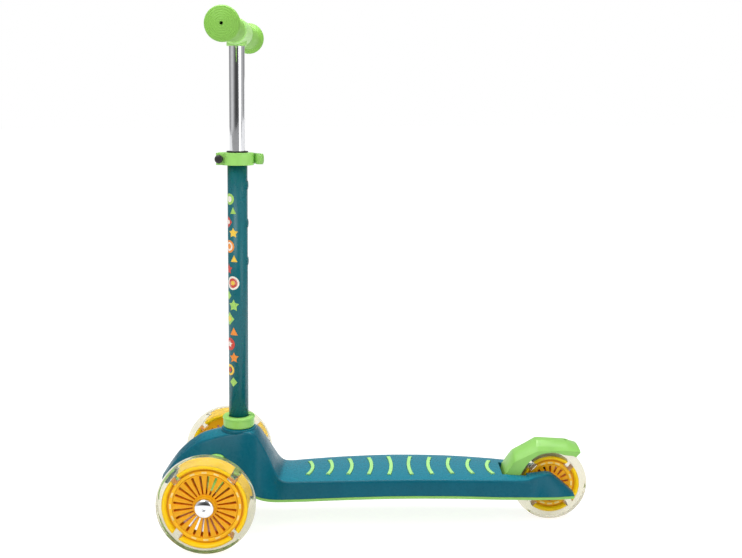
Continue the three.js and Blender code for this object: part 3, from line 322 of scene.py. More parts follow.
def add_node(tree, kind, inputs=None, **settings):
    node = tree.nodes.new("ShaderNode" + kind)
    for name, value in settings.items():
        setattr(node, name, value)
    set_inputs(tree, node, inputs or {})
    return node


def noise(tree, scale, detail=3, roughness=0.5, stretch=None):
    """Noise in the object's own metres, with its scale in features per metre."""
    place = add_node(tree, "TexCoord").outputs["Object"]
    if stretch:
        place = add_node(tree, "Mapping", {"Vector": place, "Scale": stretch}).outputs["Vector"]
    inputs = {"Vector": place, "Scale": scale, "Detail": detail, "Roughness": roughness}
    return add_node(tree, "TexNoise", inputs).outputs["Fac"]


def colour_bands(tree, source, stops):
    """Turns a value into a colour or number, by stops of a place and its colour or number."""
    node = add_node(tree, "ValToRGB", {"Fac": source})
    elements = node.color_ramp.elements
    while len(elements) < len(stops):
        elements.new(0.5)
    for element, (place, value) in zip(elements, stops):
        element.position = place
        element.color = value if hasattr(value, "__len__") else (value, value, value, 1)
    return node.outputs["Color"]


def ramp(tree, source, low, high, start=0.35, end=0.65):
    return colour_bands(tree, source, [(start, low), (end, high)])


def bump(tree, height, strength, distance, edge=0.0):
    """Fine relief, over edges rounded by a small bevel."""
    inputs = {"Strength": strength, "Distance": distance * MM, "Height": height}
    if edge:
        inputs["Normal"] = add_node(tree, "Bevel", {"Radius": edge * MM}, samples=4).outputs["Normal"]
    return add_node(tree, "Bump", inputs).outputs["Normal"]


def mix_colour(tree, share, first, second):
    """A colour between two, by a value from 0 to 1."""
    return add_node(tree, "Mix", {0: share, 6: first, 7: second}, data_type="RGBA").outputs[2]


def painted_light_top_mask(tree):
    """Mask of painted top light: 0 on upright faces and 1 on level ones that face up."""
    normal = add_node(tree, "NewGeometry").outputs["Normal"]
    return ramp(tree, add_node(tree, "SeparateXYZ", {0: normal}).outputs["Z"], 0.0, 1.0, 0.78, 1.0)


def plastic(name, colour, roughness, grain=1400, relief=0.12, edge=0.6, mottle=0.05, subsurface=0.0,
            gloss=0.5, painted_top_colour=None):
    """Moulded plastic or rubber: faint flow marks in the colour, uneven gloss, fine grain. A colour given for
    the top is mixed in on faces that face up, as painted top light.
    """
    material, tree, shader = new_material(name)
    base = hex_colour(colour)
    tint = ramp(tree, noise(tree, 28, 4), shade(base, 1 - mottle), shade(base, 1 + mottle))
    # Painted light: a lighter colour on faces that face up stands in for light falling from above
    if painted_top_colour:
        tint = mix_colour(tree, painted_light_top_mask(tree), tint, hex_colour(painted_top_colour))
    set_inputs(tree, shader, {
        "Base Color": tint,
        "Roughness": ramp(tree, noise(tree, 160, 2), roughness * 0.88, roughness * 1.12),
        "Specular IOR Level": gloss,
        "Normal": bump(tree, noise(tree, grain, 2), relief, 0.12, edge),
        "Subsurface Weight": subsurface,
        "Subsurface Radius": (0.004, 0.003, 0.001),
    })
    return material


def metal(name, colour, roughness, stretch=(1, 1, 1), scale=500, relief=0.05):
    """Metal with fine marks along one direction."""
    material, tree, shader = new_material(name)
    base = hex_colour(colour)
    marks = noise(tree, scale, 3, 0.6, stretch)
    set_inputs(tree, shader, {
        "Base Color": ramp(tree, marks, shade(base, 0.94), shade(base, 1.03)),
        "Metallic": 1,
        "Roughness": ramp(tree, marks, roughness * 0.8, roughness * 1.25),
        "Normal": bump(tree, marks, relief, 0.05, 0.4),
    })
    return material


def clear_urethane(name):
    """Clear cast tyre, a little warm and milky, with fine scuffs."""
    material, tree, shader = new_material(name)
    base = hex_colour("e0ddcb")
    scuffs = noise(tree, 160, 3, 0.6)
    set_inputs(tree, shader, {
        "Base Color": ramp(tree, noise(tree, 60, 3), shade(base, 0.96), base),
        "Transmission Weight": 0.9,
        "IOR": 1.15,
        "Roughness": ramp(tree, scuffs, 0.05, 0.08),
        "Normal": bump(tree, scuffs, 0.008, 0.02),
    })
    return material


def amber_plastic(name, colour, glow):
    """Tinted plastic that lets some light through."""
    return plastic(name, colour, 0.34, 900, relief=0.04, edge=0.4, mottle=0.04, subsurface=glow, gloss=0.25)


# Wheels, each drawn about its own centre with Y as its axle

RIB_STEPS, WEB_STEPS = 4, 5
SLOT_START, SLOT_STOP = 1.8, 1.4
BEARING_DEPTH, BEARING_LIP = 7, 2


def wheel_matrix(prefix):
    x, y, z = middle(prefix + "_tyre")
    turn = Matrix.Rotation(math.pi, 4, "Z") if y < -LEFT_Y / 2 else Matrix.Identity(4)
    return Matrix.Translation((x * MM, y * MM, z * MM)) @ turn


def slot_ends(spec):
    """Inner and outer radius of the slots between the ribs."""
    return HUB / 2 + SLOT_START, spec["core"] / 2 - RIM_WIDTH - GROOVE - SLOT_STOP


def core_profile(spec):
    """Outline of a core, with the row where its slotted web starts, in front and behind."""
    half, outer = spec["width"] / 2, spec["core"] / 2
    web = spec["width"] * WEB_SHARE
    floor = web - GROOVE_DEPTH
    rim_in = outer - RIM_WIDTH
    rim_half = half - RIM_STEP
    groove_in = rim_in - GROOVE
    hub, seat = HUB / 2, BEARING_SEAT / 2
    slot_in, slot_out = slot_ends(spec)
    face = [(seat, half - 0.4), (seat + 0.4, half), (hub - 0.8, half), (hub, half - 0.8),
            (hub + 0.3, web + 1), (hub + 1, web)]
    slotted = [(slot_in + (slot_out - slot_in) * i / WEB_STEPS, web) for i in range(WEB_STEPS + 1)]
    groove = [(groove_in - 0.5, web), (groove_in, web - 0.5), (groove_in, floor), (rim_in, floor)]
    crown = [(rim_in + 0.1, web), (rim_in + 1.8, rim_half - 0.9), ((rim_in + outer) / 2 + 0.6, rim_half),
             (outer, rim_half - 1.6), (outer, 0)]
    rim, back_rim = (rounded([(rim_in, z)] + crown, RIM_ROUND, 6, closed=False)[1:-1] for z in (floor, web))
    lip, deep = seat - BEARING_LIP, half - BEARING_DEPTH
    inner = [(seat, -deep), (lip, -deep), (lip, deep), (seat, deep)]
    back = face + slotted + [(groove_in, web), (rim_in, web)] + back_rim
    profile = inner + face + slotted + groove + rim + [(r, -y) for r, y in reversed(back)]
    return profile, len(inner) + len(face), len(profile) - len(face) - len(slotted)


def core_mesh(spec):
    """One closed mesh of hub, slotted web, groove and rim, with each face's kind: 0 web, 1 rim, 2 slot. The
    rim's kind gets a painted highlight and the slots' kind gets painted shade.
    """
    profile, first_top, first_back = core_profile(spec)
    slot_in, slot_out = slot_ends(spec)
    rim_in = spec["core"] / 2 - RIM_WIDTH
    slots = spec["slots"]
    pitch = 2 * math.pi / slots
    columns = slots * (RIB_STEPS + 1)

    def angle(column, radius):
        slot, step = divmod(column, RIB_STEPS + 1)
        share = min(1, max(0, (radius - slot_in) / (slot_out - slot_in)))
        opening = SLOT_WIDTH * (SLOT_INNER_SHARE + (1 - SLOT_INNER_SHARE) * share) / radius
        return (slot + 0.5) * pitch + opening / 2 + (pitch - opening) * step / RIB_STEPS

    verts = []
    for r, y in profile:
        turns = [angle(c, r) for c in range(columns)]
        verts += [(r * math.cos(a), y, -r * math.sin(a)) for a in turns]
    faces, kinds = [], []
    rows = len(profile)
    for i, quad in enumerate(grid_faces(rows, columns, closed_rows=True)):
        r, c = divmod(i, columns)
        in_web = 0 <= r - first_top < WEB_STEPS or 0 <= r - first_back < WEB_STEPS
        if in_web and c % (RIB_STEPS + 1) == RIB_STEPS:
            continue
        faces.append(quad)
        # Rim faces are kind 1, which gets the painted highlight
        kinds.append(1 if min(profile[r][0], profile[(r + 1) % rows][0]) >= rim_in else 0)
    # The slot walls made below are kind 2, which gets painted shade
    for slot in range(slots):
        left = slot * (RIB_STEPS + 1) + RIB_STEPS
        right = (left + 1) % columns
        for i in range(WEB_STEPS):
            t0, t1 = (first_top + i) * columns, (first_top + i + 1) * columns
            b0, b1 = (first_back + WEB_STEPS - i) * columns, (first_back + WEB_STEPS - 1 - i) * columns
            faces += [(t0 + c, t1 + c, b1 + c, b0 + c) for c in (left, right)]
        for top, back in ((first_top, first_back + WEB_STEPS), (first_top + WEB_STEPS, first_back)):
            t, b = top * columns, back * columns
            faces.append((t + left, t + right, b + right, b + left))
    return verts, faces, kinds + [2] * (len(faces) - len(kinds))


def tyre_profile(spec):
    radius = spec["diameter"] / 2
    half = spec["width"] / 2 - TYRE_INSET
    inner = spec["core"] / 2 - GAP
    foot = spec["width"] / 2 - RIM_STEP
    crown = []
    for i in range(TYRE_STEPS + 1):
        a = math.pi * (i / TYRE_STEPS - 0.5)
        rise = max(0.0, math.cos(a)) ** TYRE_POWER
        crown.append((radius - TYRE_ROUND * (1 - rise), math.sin(a) * half))
    return [(inner, -foot)] + crown + [(inner, foot)]


def cut_round(piece, count, low, high, operation="DIFFERENCE"):
    """Cuts or adds a box at as many places round the axle, between the quarters."""
    for i in range(count):
        block = bar_mesh("block", low, high)
        block.data.transform(Matrix.Rotation(2 * math.pi * (i + 0.5) / count, 4, "Y"))
        cut(piece, block, operation)


def build_wheel(prefix, spec):
    body = "wheel_" + prefix
    place = wheel_matrix(prefix)
    verts, faces, kinds = core_mesh(spec)
    core = mesh_piece(prefix + "_wheel_core", verts, faces, AMBER, body, "wheel_core", [prefix + "_core"])
    # Painted light on the core: a brighter yellow on the rim is a painted highlight, and a deeper orange on
    # the slot walls is painted shade
    core.data.materials.append(PAINTED_RIM_HIGHLIGHT)
    core.data.materials.append(PAINTED_SLOT_SHADE)
    for polygon, kind in zip(core.data.polygons, kinds):
        polygon.material_index = kind
    width, outer, half_notch = spec["width"], spec["core"] / 2, NOTCH_WIDTH / 2
    floor = outer - NOTCH_DEPTH
    cut_round(core, NOTCHES, (floor, -width, -half_notch), (outer + 4, width, half_notch))
    core.data.transform(place)
    soften(core, 0.35, 2, 40)
    tyre = mesh_piece(prefix + "_clear_tyre", *turned(tyre_profile(spec), 128, "Y"), CLEAR, body,
                      "clear_tyre", [prefix + "_tyre"])
    reach, side = width / 2 - LUG_INSET, half_notch + GAP
    cut_round(tyre, NOTCHES, (floor - GAP, -reach, -side), (outer + 3.5, reach, side), "UNION")
    tyre.data.transform(place)
    soften(tyre, 0.6, 3, 40)
    build_lights(prefix, spec, body, place)
    for side in ("outer", "inner"):
        bearing(prefix, side, spec, body, place)


def build_lights(prefix, spec, body, place):
    """A ring in the core's groove, with groups of three lights that stand out of it."""
    low = spec["width"] * WEB_SHARE - GROOVE_DEPTH + GAP
    face = low + LIGHT_RING_HEIGHT
    inner, outer = spec["core"] / 2 - RIM_WIDTH - GROOVE + GAP, spec["core"] / 2 - NOTCH_DEPTH - GAP
    lights = mesh_piece(prefix + "_lights", *turned(rounded(ring(inner, outer, low, face), 0.3, 2), 96, "Y"),
                        AMBER_RING, body, "light_ring", [prefix + "_light_ring"])
    centre, half_deep, half_long = (inner + outer) / 2, 1.1, 3.1
    for i in range(LIGHTS):
        quadrant, step = divmod(i, 3)
        block = bar_mesh("light", (centre - half_deep, low + 0.6, -half_long),
                         (centre + half_deep, face + 0.4, half_long))
        block.data.transform(Matrix.Rotation(math.pi / 2 * quadrant + LIGHT_SPREAD * (step - 1), 4, "Y"))
        cut(lights, block, "UNION")
    lights.data.materials.append(PALE_LIGHT)
    for polygon in lights.data.polygons:
        polygon.material_index = 1 if polygon.center.y > (face + 0.05) * MM else 0
    lights.data.transform(place)
    soften(lights, 0.3, 2, 40)


def bearing(prefix, side, spec, body, place):
    """Outer race, inner race and the shield between them, in one mesh."""
    out = 1 if side == "outer" else -1
    far, near = spec["width"] / 2 - 0.1, spec["width"] / 2 - 6.7
    bore, inner, outer, radius, sunk = 4.15, 6, 8.8, 11, 0.9
    races = [ring(outer, radius, near, far), ring(bore, inner, near, far),
             ring(inner + 0.05, outer - 0.05, near + sunk, far - sunk)]
    rings = [turned(rounded([(r, out * h) for r, h in race], 0.25, 2), 64, "Y") for race in races]
    mesh_piece(f"{prefix}_ball_race_{side}", *merged(rings), STEEL, body, "steel",
               [f"{prefix}_bearing_{side}"], place)


def build_axle_bolt(side):
    """Domed chrome cap with a small hexagon socket, and its shank in the knuckle."""
    turn = Matrix.Identity(4) if side == "left" else Matrix.Rotation(math.pi, 4, "Z")
    face = LEFT_Y + FRONT["width"] / 2 + GAP
    shank, shank_end = 3.9, 55.5
    cap, edge, rise = 12, 1.4, 4.1
    dome = [(cap * math.cos(a), face + edge + rise * math.sin(a)) for a in map(math.radians, range(0, 91, 6))]
    profile = [(0, shank_end), (shank, shank_end), (shank, face), (cap - 0.4, face), (cap, face + 0.4)] + dome
    bolt = mesh_piece("axle_cap_" + side, *turned(profile, 96, "Y", closed=False), CHROME, "steer_" + side,
                      "chrome", ["axle_bolt_" + side])
    cut(bolt, rod_mesh("socket", 2.5, face + 2.6, face + 12, 6))
    bolt.data.transform(Matrix.Translation((AXLE_X * MM, 0, AXLE_Z * MM)) @ turn)
    soften(bolt, 0.25, 2, 45)


# Deck, hood and fork

HOOD_HEIGHT, HOOD_LENGTH, DECK_HEIGHT, DECK_LENGTH = 129, 168, 73.4, 383
HALF_WIDTH, NOSE_X, NECK_X = 53, 286, 118
STATION_STEPS = 5
CORNER_REACH, TOP_ROUND = 3.6, 2
# Shares of the sizes above: place, crest, crease's half width and height, side's half width, lower edge.
# In the hood, heights are shares of its rise above the lower edge.
HOOD = [
    (0, 0.0639, 0.13, 0.0364, 0.16, 0.8),
    (0.065, 0.3097, 0.3, 0.2461, 0.42, 0.79),
    (0.148, 0.564, 0.37, 0.4732, 0.64, 0.79),
    (0.262, 0.7911, 0.41, 0.7003, 0.83, 0.79),
    (0.377, 0.9183, 0.43, 0.8365, 0.94, 0.79),
    (0.623, 1, 0.43, 0.9728, 1, 0.79),
    (0.748, 0.9748, 0.42, 0.9413, 0.95, 0.71),
    (0.82, 0.7875, 0.46, 0.7481, 0.9, 0.641),
    (0.879, 0.5879, 0.54, 0.5421, 0.865, 0.606),
    (0.935, 0.3968, 0.68, 0.3516, 0.84, 0.592),
]
DECK = [
    (0, 0.958, 0.8, 0.917, 0.84, 0.592),
    (0.072, 0.953, 0.86, 0.928, 0.89, 0.615),
    (0.209, 0.981, 0.93, 0.958, 0.965, 0.661),
    (0.381, 1, 0.965, 0.977, 1, 0.691),
    (0.568, 0.988, 0.935, 0.965, 0.97, 0.68),
    (0.727, 0.949, 0.84, 0.928, 0.88, 0.633),
    (0.827, 0.919, 0.73, 0.896, 0.78, 0.598),
    (0.863, 0.932, 0.6, 0.915, 0.745, 0.585),
    (0.905, 0.957, 0.5, 0.94, 0.72, 0.58),
    (0.934, 0.9, 0.44, 0.882, 0.69, 0.572),
    (1, 0.589, 0.4, 0.58, 0.58, 0.562),
]
WALL, THICK_WALL = 3.2, 3.5
BOSS_RADIUS, BOSS_TOP, BOSS_DEPTH, BOSS_CHAMFER = 23.5, 129.5, 16, 1.5
# Past the deck's tail, sole and crest, for cuts that go right through it
BEHIND, BELOW, ABOVE = -400, -10, 200


def dense_stations():
    """Many cross sections from nose to tail, as (x, crest, crease, its height, side, lower edge)."""
    stations = []
    for shares, start, length in ((HOOD, NOSE_X, HOOD_LENGTH), (DECK, NECK_X, DECK_LENGTH)):
        for place, crest, width, height, side, lower in shares:
            low = lower * DECK_HEIGHT
            base, rise = (low, HOOD_HEIGHT - low) if shares is HOOD else (0, DECK_HEIGHT)
            stations.append((start - place * length, base + crest * rise, width * HALF_WIDTH,
                             base + height * rise, side * HALF_WIDTH, low))
    return catmull(stations, STATION_STEPS)


def section(station, inset, drop):
    """Points across one station, from the left foot over the crest to the right foot."""
    _, crest, crease_half, crease_height, side, lower = station
    foot = Vector((side - inset, lower))
    crease = Vector((crease_half - inset * 0.6, crease_height - inset))
    crown = Vector((0, crest - inset))
    reach = min(CORNER_REACH, (foot - crease).length / 3)
    start = crease.lerp(foot, reach / (foot - crease).length)
    end = crease.lerp(crown, reach / (crown - crease).length)
    half = [foot - Vector((0, drop)), foot.lerp(start, 0.34), foot.lerp(start, 0.67)]
    half += [arc_point(start, crease, end, t) for t in (0, 0.2, 0.4, 0.6, 0.8, 1)]
    for share in (0.25, 0.5, 0.75):
        half.append(end.lerp(crown, share) + Vector((0, TOP_ROUND * share * (1 - share))))
    return half + [crown] + [Vector((-p.x, p.y)) for p in reversed(half)]


def moulding(name, stations, inset, drop):
    return loose_mesh(name, *lofted([[(s[0], p.x, p.y) for p in section(s, inset, drop)] for s in stations]))


HOUSING_REAR, HOUSING_FRONT, HOUSING_FOOT, HOUSING_TOP = 173, 273, 50, 101
HOUSING = [(0, 0), (0.06, 0.38), (0.13, 0.66), (0.21, 0.88), (0.31, 1), (0.44, 0.96), (0.72, 0.62),
           (0.94, 0.3), (1, 0)]


def arch(outset, foot):
    """Outline of the arch above the front wheels, in X and Z, down to a foot."""
    length, rise = HOUSING_FRONT - HOUSING_REAR, HOUSING_TOP - HOUSING_FOOT
    centre = (HOUSING_FRONT + HOUSING_REAR) / 2
    points = [(centre + (HOUSING_REAR + x * length - centre) * (1 + outset * 2 / length),
               HOUSING_FOOT + z * rise * (1 + outset / rise)) for x, z in HOUSING]
    line = catmull(points, 6)
    return line + [(line[-1][0], foot), (line[0][0], foot)]


def boss():
    """Round boss that lifts out of the hood under the stem's collar."""
    foot = BOSS_TOP - BOSS_DEPTH
    profile = [(0, foot), (BOSS_RADIUS, foot), (BOSS_RADIUS, BOSS_TOP - BOSS_CHAMFER),
               (BOSS_RADIUS - BOSS_CHAMFER, BOSS_TOP), (0, BOSS_TOP)]
    return loose_mesh("boss", *turned(rounded(profile, 1.2, 3, closed=False), 96, closed=False), STEM_FRAME)


def cut_rear_end(piece):
    """Cuts the wheel's slot and round room, and the mudguard's well."""
    centre_x, centre_z = round(REAR_X), round(REAR_Z)
    cut(piece, bar_mesh("wheel_slot", (BEHIND, -SLOT_HALF, BELOW), (centre_x, SLOT_HALF, ABOVE)))
    turns = [2 * math.pi * i / 96 for i in range(96)]
    room = [(centre_x + WHEEL_ROOM * math.cos(a), centre_z + WHEEL_ROOM * math.sin(a)) for a in turns]
    cut(piece, loose_mesh("wheel_room", *extruded(room, -SLOT_HALF, SLOT_HALF)))
    cut(piece, bar_mesh("well", (WELL_BACK, -WELL_HALF, BELOW), (WELL_FRONT, WELL_HALF, ABOVE)))


def build_deck():
    stations = dense_stations()
    shell = moulding("deck_moulding", stations, 0, 0)
    cut(shell, boss(), "UNION")
    # The hollow leaves the walls of the wheel's slot and of the brake's well, and a post for the stem
    hollow = moulding("hollow", stations[STATION_STEPS:-STATION_STEPS], WALL, 4)
    slot_side, well_side = SLOT_HALF + WALL, WELL_HALF + WALL
    cut(hollow, bar_mesh("slot_walls", (-300, -slot_side, 0), (WELL_FRONT + 0.4, slot_side, ABOVE)))
    cut(hollow, bar_mesh("well_walls", (WELL_BACK - THICK_WALL, -well_side, -1),
                         (WELL_FRONT + THICK_WALL, well_side, ABOVE + 1)))
    socket_foot = TUBE_FOOT - GAP
    cut(hollow, rod_mesh("post", TUBE_ROOM + THICK_WALL, socket_foot - THICK_WALL, 160, 64, "Z", STEM_FRAME))
    cut(shell, hollow)
    cut(shell, rod_mesh("bore", TUBE_ROOM, socket_foot, 700, 64, "Z", STEM_FRAME))
    cut(shell, loose_mesh("arch", *extruded(arch(0.5, -4), -ACROSS, ACROSS)))
    cut_rear_end(shell)
    for strip in strip_places():
        cut(shell, loose_mesh("groove", *extruded(strip_outline(strip, GAP), strip["low"] - GAP, OVER, "Z")))
    dress(shell, TEAL, "chassis", ["deck_shell"])
    soften(shell, 0.5, 2, 38)


STRIPS, STRIP_WIDTH, STRIP_BOW_SHARE = 10, 4.6, 0.56
STRIP_STEPS = 24


def strip_places():
    """Each strip's place, from its CAD box: the middle bows towards the middle of the deck."""
    places = []
    for i in range(1, STRIPS + 1):
        (back, _, low), (front, half, top) = node_box(f"grip_strip_{i:02d}")
        bow = (front - back - STRIP_WIDTH) * STRIP_BOW_SHARE
        foot = back + STRIP_WIDTH / 2
        if i <= STRIPS / 2:
            bow, foot = -bow, front - STRIP_WIDTH / 2
        places.append({"low": low, "top": top, "half": half, "foot": foot, "bow": bow})
    return places


def strip_outline(strip, room):
    """A bowed strip with round ends, in X and Y."""
    half = strip["half"]
    radius = STRIP_WIDTH / 2 + room
    line = []
    for s in range(STRIP_STEPS + 1):
        y = (half - STRIP_WIDTH / 2) * (1 - s / (STRIP_STEPS / 2))
        line.append(Vector((strip["foot"] + strip["bow"] * (1 - (y / half) ** 2), y)))
    left, right = [], []
    for s, point in enumerate(line):
        along = (line[min(s + 1, STRIP_STEPS)] - line[max(s - 1, 0)]).normalized()
        away = Vector((-along.y, along.x)) * radius
        left.append(point + away)
        right.append(point - away)
    outline = left + round_end(line[-1], left[-1]) + right[::-1] + round_end(line[0], right[0])
    return [tuple(p) for p in outline]


def round_end(point, start):
    """Points of a half circle about a point, from one side of the strip towards the other."""
    spoke = start - point
    end = []
    for a in range(30, 180, 30):
        turn = math.radians(a)
        end.append(point + Vector((spoke.x * math.cos(turn) - spoke.y * math.sin(turn),
                                   spoke.x * math.sin(turn) + spoke.y * math.cos(turn))))
    return end


def build_strips():
    for i, strip in enumerate(strip_places(), 1):
        verts, faces = extruded(strip_outline(strip, 0), strip["low"], strip["top"], "Z")
        piece = mesh_piece(f"tread_strip_{i:02d}", verts, faces, STRIP, "chassis", "strip_rubber",
                           [f"grip_strip_{i:02d}"])
        soften(piece, 0.7, 3, 50)


COVER_HEIGHT, COVER_SOLE, COVER_RIM = 4.3, 1.9, 3


def build_underplate():
    """Pale cover under the deck, whose rim shows as a line along its lower edge."""
    rear = [s for s in dense_stations() if s[0] < HOUSING_REAR]
    outer, inner = [], []
    for station in rear:
        x, half, high = station[0], station[4], station[5] - GAP
        low = high - COVER_HEIGHT
        side = [(half - 2, low), (half - 0.4, low + 1), (half, high)]
        outer.append([(x, y, z) for y, z in side + [(-y, z) for y, z in reversed(side)]])
        sole, half = high - COVER_SOLE, half - COVER_RIM
        inner.append([(x, half, sole), (x, half, high + 3), (x, -half, high + 3), (x, -half, sole)])
    plate = mesh_piece("deck_cover", *lofted(outer), LEAF, "chassis", "green_plastic", ["deck_underplate"])
    cut(plate, loose_mesh("cover_hollow", *lofted(inner[2:-2])))
    cut_rear_end(plate)
    soften(plate, 0.5, 2, 38)


# Stem and handle, in the raked frame of the stem

def stem_piece(name, profile, material, body, slot, replaces, round_by=0.0, flats=96):
    shape = rounded(profile, round_by) if round_by else profile
    return mesh_piece(name, *turned(shape, flats), material, body, slot, replaces, STEM_FRAME)


def build_stem():
    pipe = ring(TUBE_RADIUS - PIPE_WALL, TUBE_RADIUS, TUBE_FOOT, TUBE_TOP)
    tube = stem_piece("painted_stem", pipe, TUBE, "chassis", "stem_paint", ["stem_tube"])
    rim_bore, rim_radius, rim_foot, rim_top = 3.4, 5.8, -11.7, -13.6
    rim_profile = rounded([(rim_bore, rim_foot), (rim_radius, rim_foot), (rim_radius - 0.2, rim_top),
                           (rim_bore, rim_top)], 0.5, 3)
    points, faces = turned(rim_profile, 48)
    rims = []
    for z in HOLES:
        cut(tube, rod_mesh("hole", HOLE_RADIUS, -19.3, -5.1, 44, "Z", hole_frame(z + 0.013)))
        rims.append(([(h, y, z - x) for x, y, h in points], faces))
    mesh_piece("hole_rims", *merged(rims), TUBE, "chassis", "stem_paint", matrix=STEM_FRAME)
    collar = [(TUBE_ROOM, COLLAR_FOOT), (18.4, COLLAR_FOOT), (20.6, 131.6), (20.6, 141.2), (21.3, 141.8),
              (21.3, 143.8), (20.4, COLLAR_TOP), (TUBE_ROOM, COLLAR_TOP)]
    collar_ring = stem_piece("stem_collar_ring", collar, GREEN, "chassis", "green_plastic", ["stem_collar"],
                             round_by=1)
    cut(collar_ring, bar_mesh("key", (-24, -2.5, 140), (-13, 2.5, 150), STEM_FRAME))
    soften(collar_ring, 0.5, 2, 45)
    bushing = [(POST_ROOM, 474), (11.2, 474), (11.2, TUBE_TOP + GAP), (14, TUBE_TOP + GAP),
               (14, TUBE_TOP + 2), (POST_ROOM, TUBE_TOP + 2)]
    stem_piece("guide_bushing", bushing, BLACK, "chassis", "black_plastic", ["stem_bushing"], 0.5)


CLAMP_RADIUS, LUG_HALF, SLIT_HALF, BOLT_ROOM = 21.2, 14, 1.5, 2.8


def build_clamp():
    clamp = stem_piece("clamp_ring", ring(TUBE_ROOM, CLAMP_RADIUS, CLAMP_FOOT, CLAMP_TOP), GREEN, "chassis",
                       "green_plastic", ["clamp_collar"], flats=90)
    # The lugs end inside the ring's flat faces, which keeps the joining clean
    cut(clamp, bar_mesh("lugs", (15.1, -LUG_HALF, CLAMP_FOOT + GAP), (25.7, LUG_HALF, CLAMP_TOP - GAP),
                        STEM_FRAME), "UNION")
    cut(clamp, bar_mesh("slit", (8, -SLIT_HALF, CLAMP_FOOT - 10), (40, SLIT_HALF, CLAMP_TOP + 4), STEM_FRAME))
    cut(clamp, rod_mesh("hole", BOLT_ROOM, -LUG_HALF - 4, LUG_HALF + 4, 32, matrix=CLAMP_FRAME))
    soften(clamp, 2.2, 4, 40)
    seat, inside, nut_radius, nut_top = LUG_HALF + GAP, 20.5, 5.3, 22
    nut = rounded([(0, inside), (BOLT_ROOM, inside), (BOLT_ROOM, seat), (nut_radius, seat),
                   (nut_radius, 20.4), (3.6, nut_top), (0, nut_top)], 0.8, 3, closed=False)
    mesh_piece("clamp_nut_cap", *turned(nut, 48, "Y", closed=False), BLACK, "chassis", "black_plastic",
               ["clamp_nut"], CLAMP_FRAME)
    refined("clamp_lever", "quick_lever", LEAF, "clamp_lever", 1.3, 4, 44)


SLEEVE_RADIUS, SLEEVE_LENGTH, THROUGH = 13, 18, 60
BUTTON_HOLE = 3.2


def build_handle():
    pipe = ring(POST_RADIUS - PIPE_WALL, POST_RADIUS, POST_FOOT, BAR_Z - 14)
    post = stem_piece("chrome_post", pipe, CHROME, "handle", "chrome", ["handle_post"], 0.4)
    cut(post, rod_mesh("button_hole", BUTTON_HOLE, -30, 0, 32, "Z", hole_frame(HOLES[0])))
    outline = [(0, -JOINT_HALF), (JOINT_RADIUS, -JOINT_HALF), (JOINT_RADIUS, JOINT_HALF), (0, JOINT_HALF)]
    joint = mesh_piece("t_joint", *turned(rounded(outline, 3, 5, closed=False), 96, "Y", closed=False),
                       PALE_GREEN, "handle", "green_plastic", ["handle_joint"], BAR_FRAME)
    cut(joint, rod_mesh("sleeve", SLEEVE_RADIUS, -SLEEVE_LENGTH, 0, 96, "Z", BAR_FRAME), "UNION")
    cut(joint, rod_mesh("post_room", POST_ROOM, -THROUGH, -13.4, 96, "Z", BAR_FRAME))
    cut(joint, rod_mesh("bar_room", POST_ROOM, -THROUGH, THROUGH, 96, "Y", BAR_FRAME))
    soften(joint, 1.6, 4, 40)
    build_grip("left", 1)
    build_grip("right", -1)


def build_grip(side, sign):
    """A ribbed grip with a flange and a domed end that has shallow ridges and a small hole."""
    start, flange_start = JOINT_HALF + GAP, BAR_HALF - 12
    profile = [(POST_ROOM, start), (14.6, start), (GRIP_RADIUS, start + 0.8)]
    ribs, run = 9, flange_start - start - 8
    pitch = run / ribs
    for i in range(ribs):
        y = start + 4 + run * i / ribs
        profile += [(GRIP_RADIUS, y), (15, y + pitch * 0.22), (15, y + pitch * 0.4),
                    (GRIP_RADIUS, y + pitch * 0.62)]
    flange = [(GRIP_RADIUS, 12), (17, 9.5), (20.2, 6.4), (21.1, 5), (FLANGE_RADIUS, 3.4), (20.9, 1.6),
              (19.9, 0.4)]
    profile += [(radius, BAR_HALF - back) for radius, back in flange]
    for i in range(6):
        radius = 19.2 - i * 2.9
        height = BAR_HALF - 0.2 + 4.6 * (1 - (radius / 21) ** 2)
        profile += [(radius, height), (radius - 0.7, height - 0.45), (radius - 1.3, height - 0.45),
                    (radius - 2, height + 0.25)]
    profile += [(2.1, BAR_HALF + 4.6), (2, BAR_HALF + 4.2), (2, BAR_HALF - 5), (POST_ROOM, BAR_HALF - 5)]
    profile = [(r, sign * y) for r, y in profile]
    mesh_piece("ribbed_grip_" + side, *turned(profile, 128, "Y"), GRIP, "handle", "grip_rubber",
               ["grip_" + side], BAR_FRAME)


# Foot brake, a faceted mudguard as in the source

FENDER_FRONT, FENDER_BACK, FENDER_FOOT, FENDER_TOP = -172, -274.5, 54, 110.5
FENDER_HALF, FENDER_WALL, CHEEK_DROP = 22, 2.6, 12
HOLLOW_FOOT = 49.3
TYRE_ROOM, ROOM_HALF = 54.2, 14
PIN_ROOM, SCREW_RADIUS, SCREW_X = 2.8, 2, -257
# Shares of the length and height, and how far each roof point drops at the cheeks
ROOF = [(0, 0, 0), (0.02, 0.25, 0), (0.142, 0.681, 0.6), (0.437, 1, 0.9), (0.837, 0.957, 0.7), (1, 0.83, 0.2),
        (0.93, 0.655, 0)]
ARCH = [(0.897, 0.69), (0.79, 0.708), (0.702, 0.752), (0.615, 0.77), (0.487, 0.734), (0.4, 0.655),
        (0.312, 0.513), (0.254, 0.354), (0.204, 0.177), (0.185, 0)]
CHEEKS = [(0.3, 0), (0.8, 0.5), (1, 1)]


def fender_point(x, z):
    return FENDER_FRONT + x * (FENDER_BACK - FENDER_FRONT), FENDER_FOOT + z * (FENDER_TOP - FENDER_FOOT)


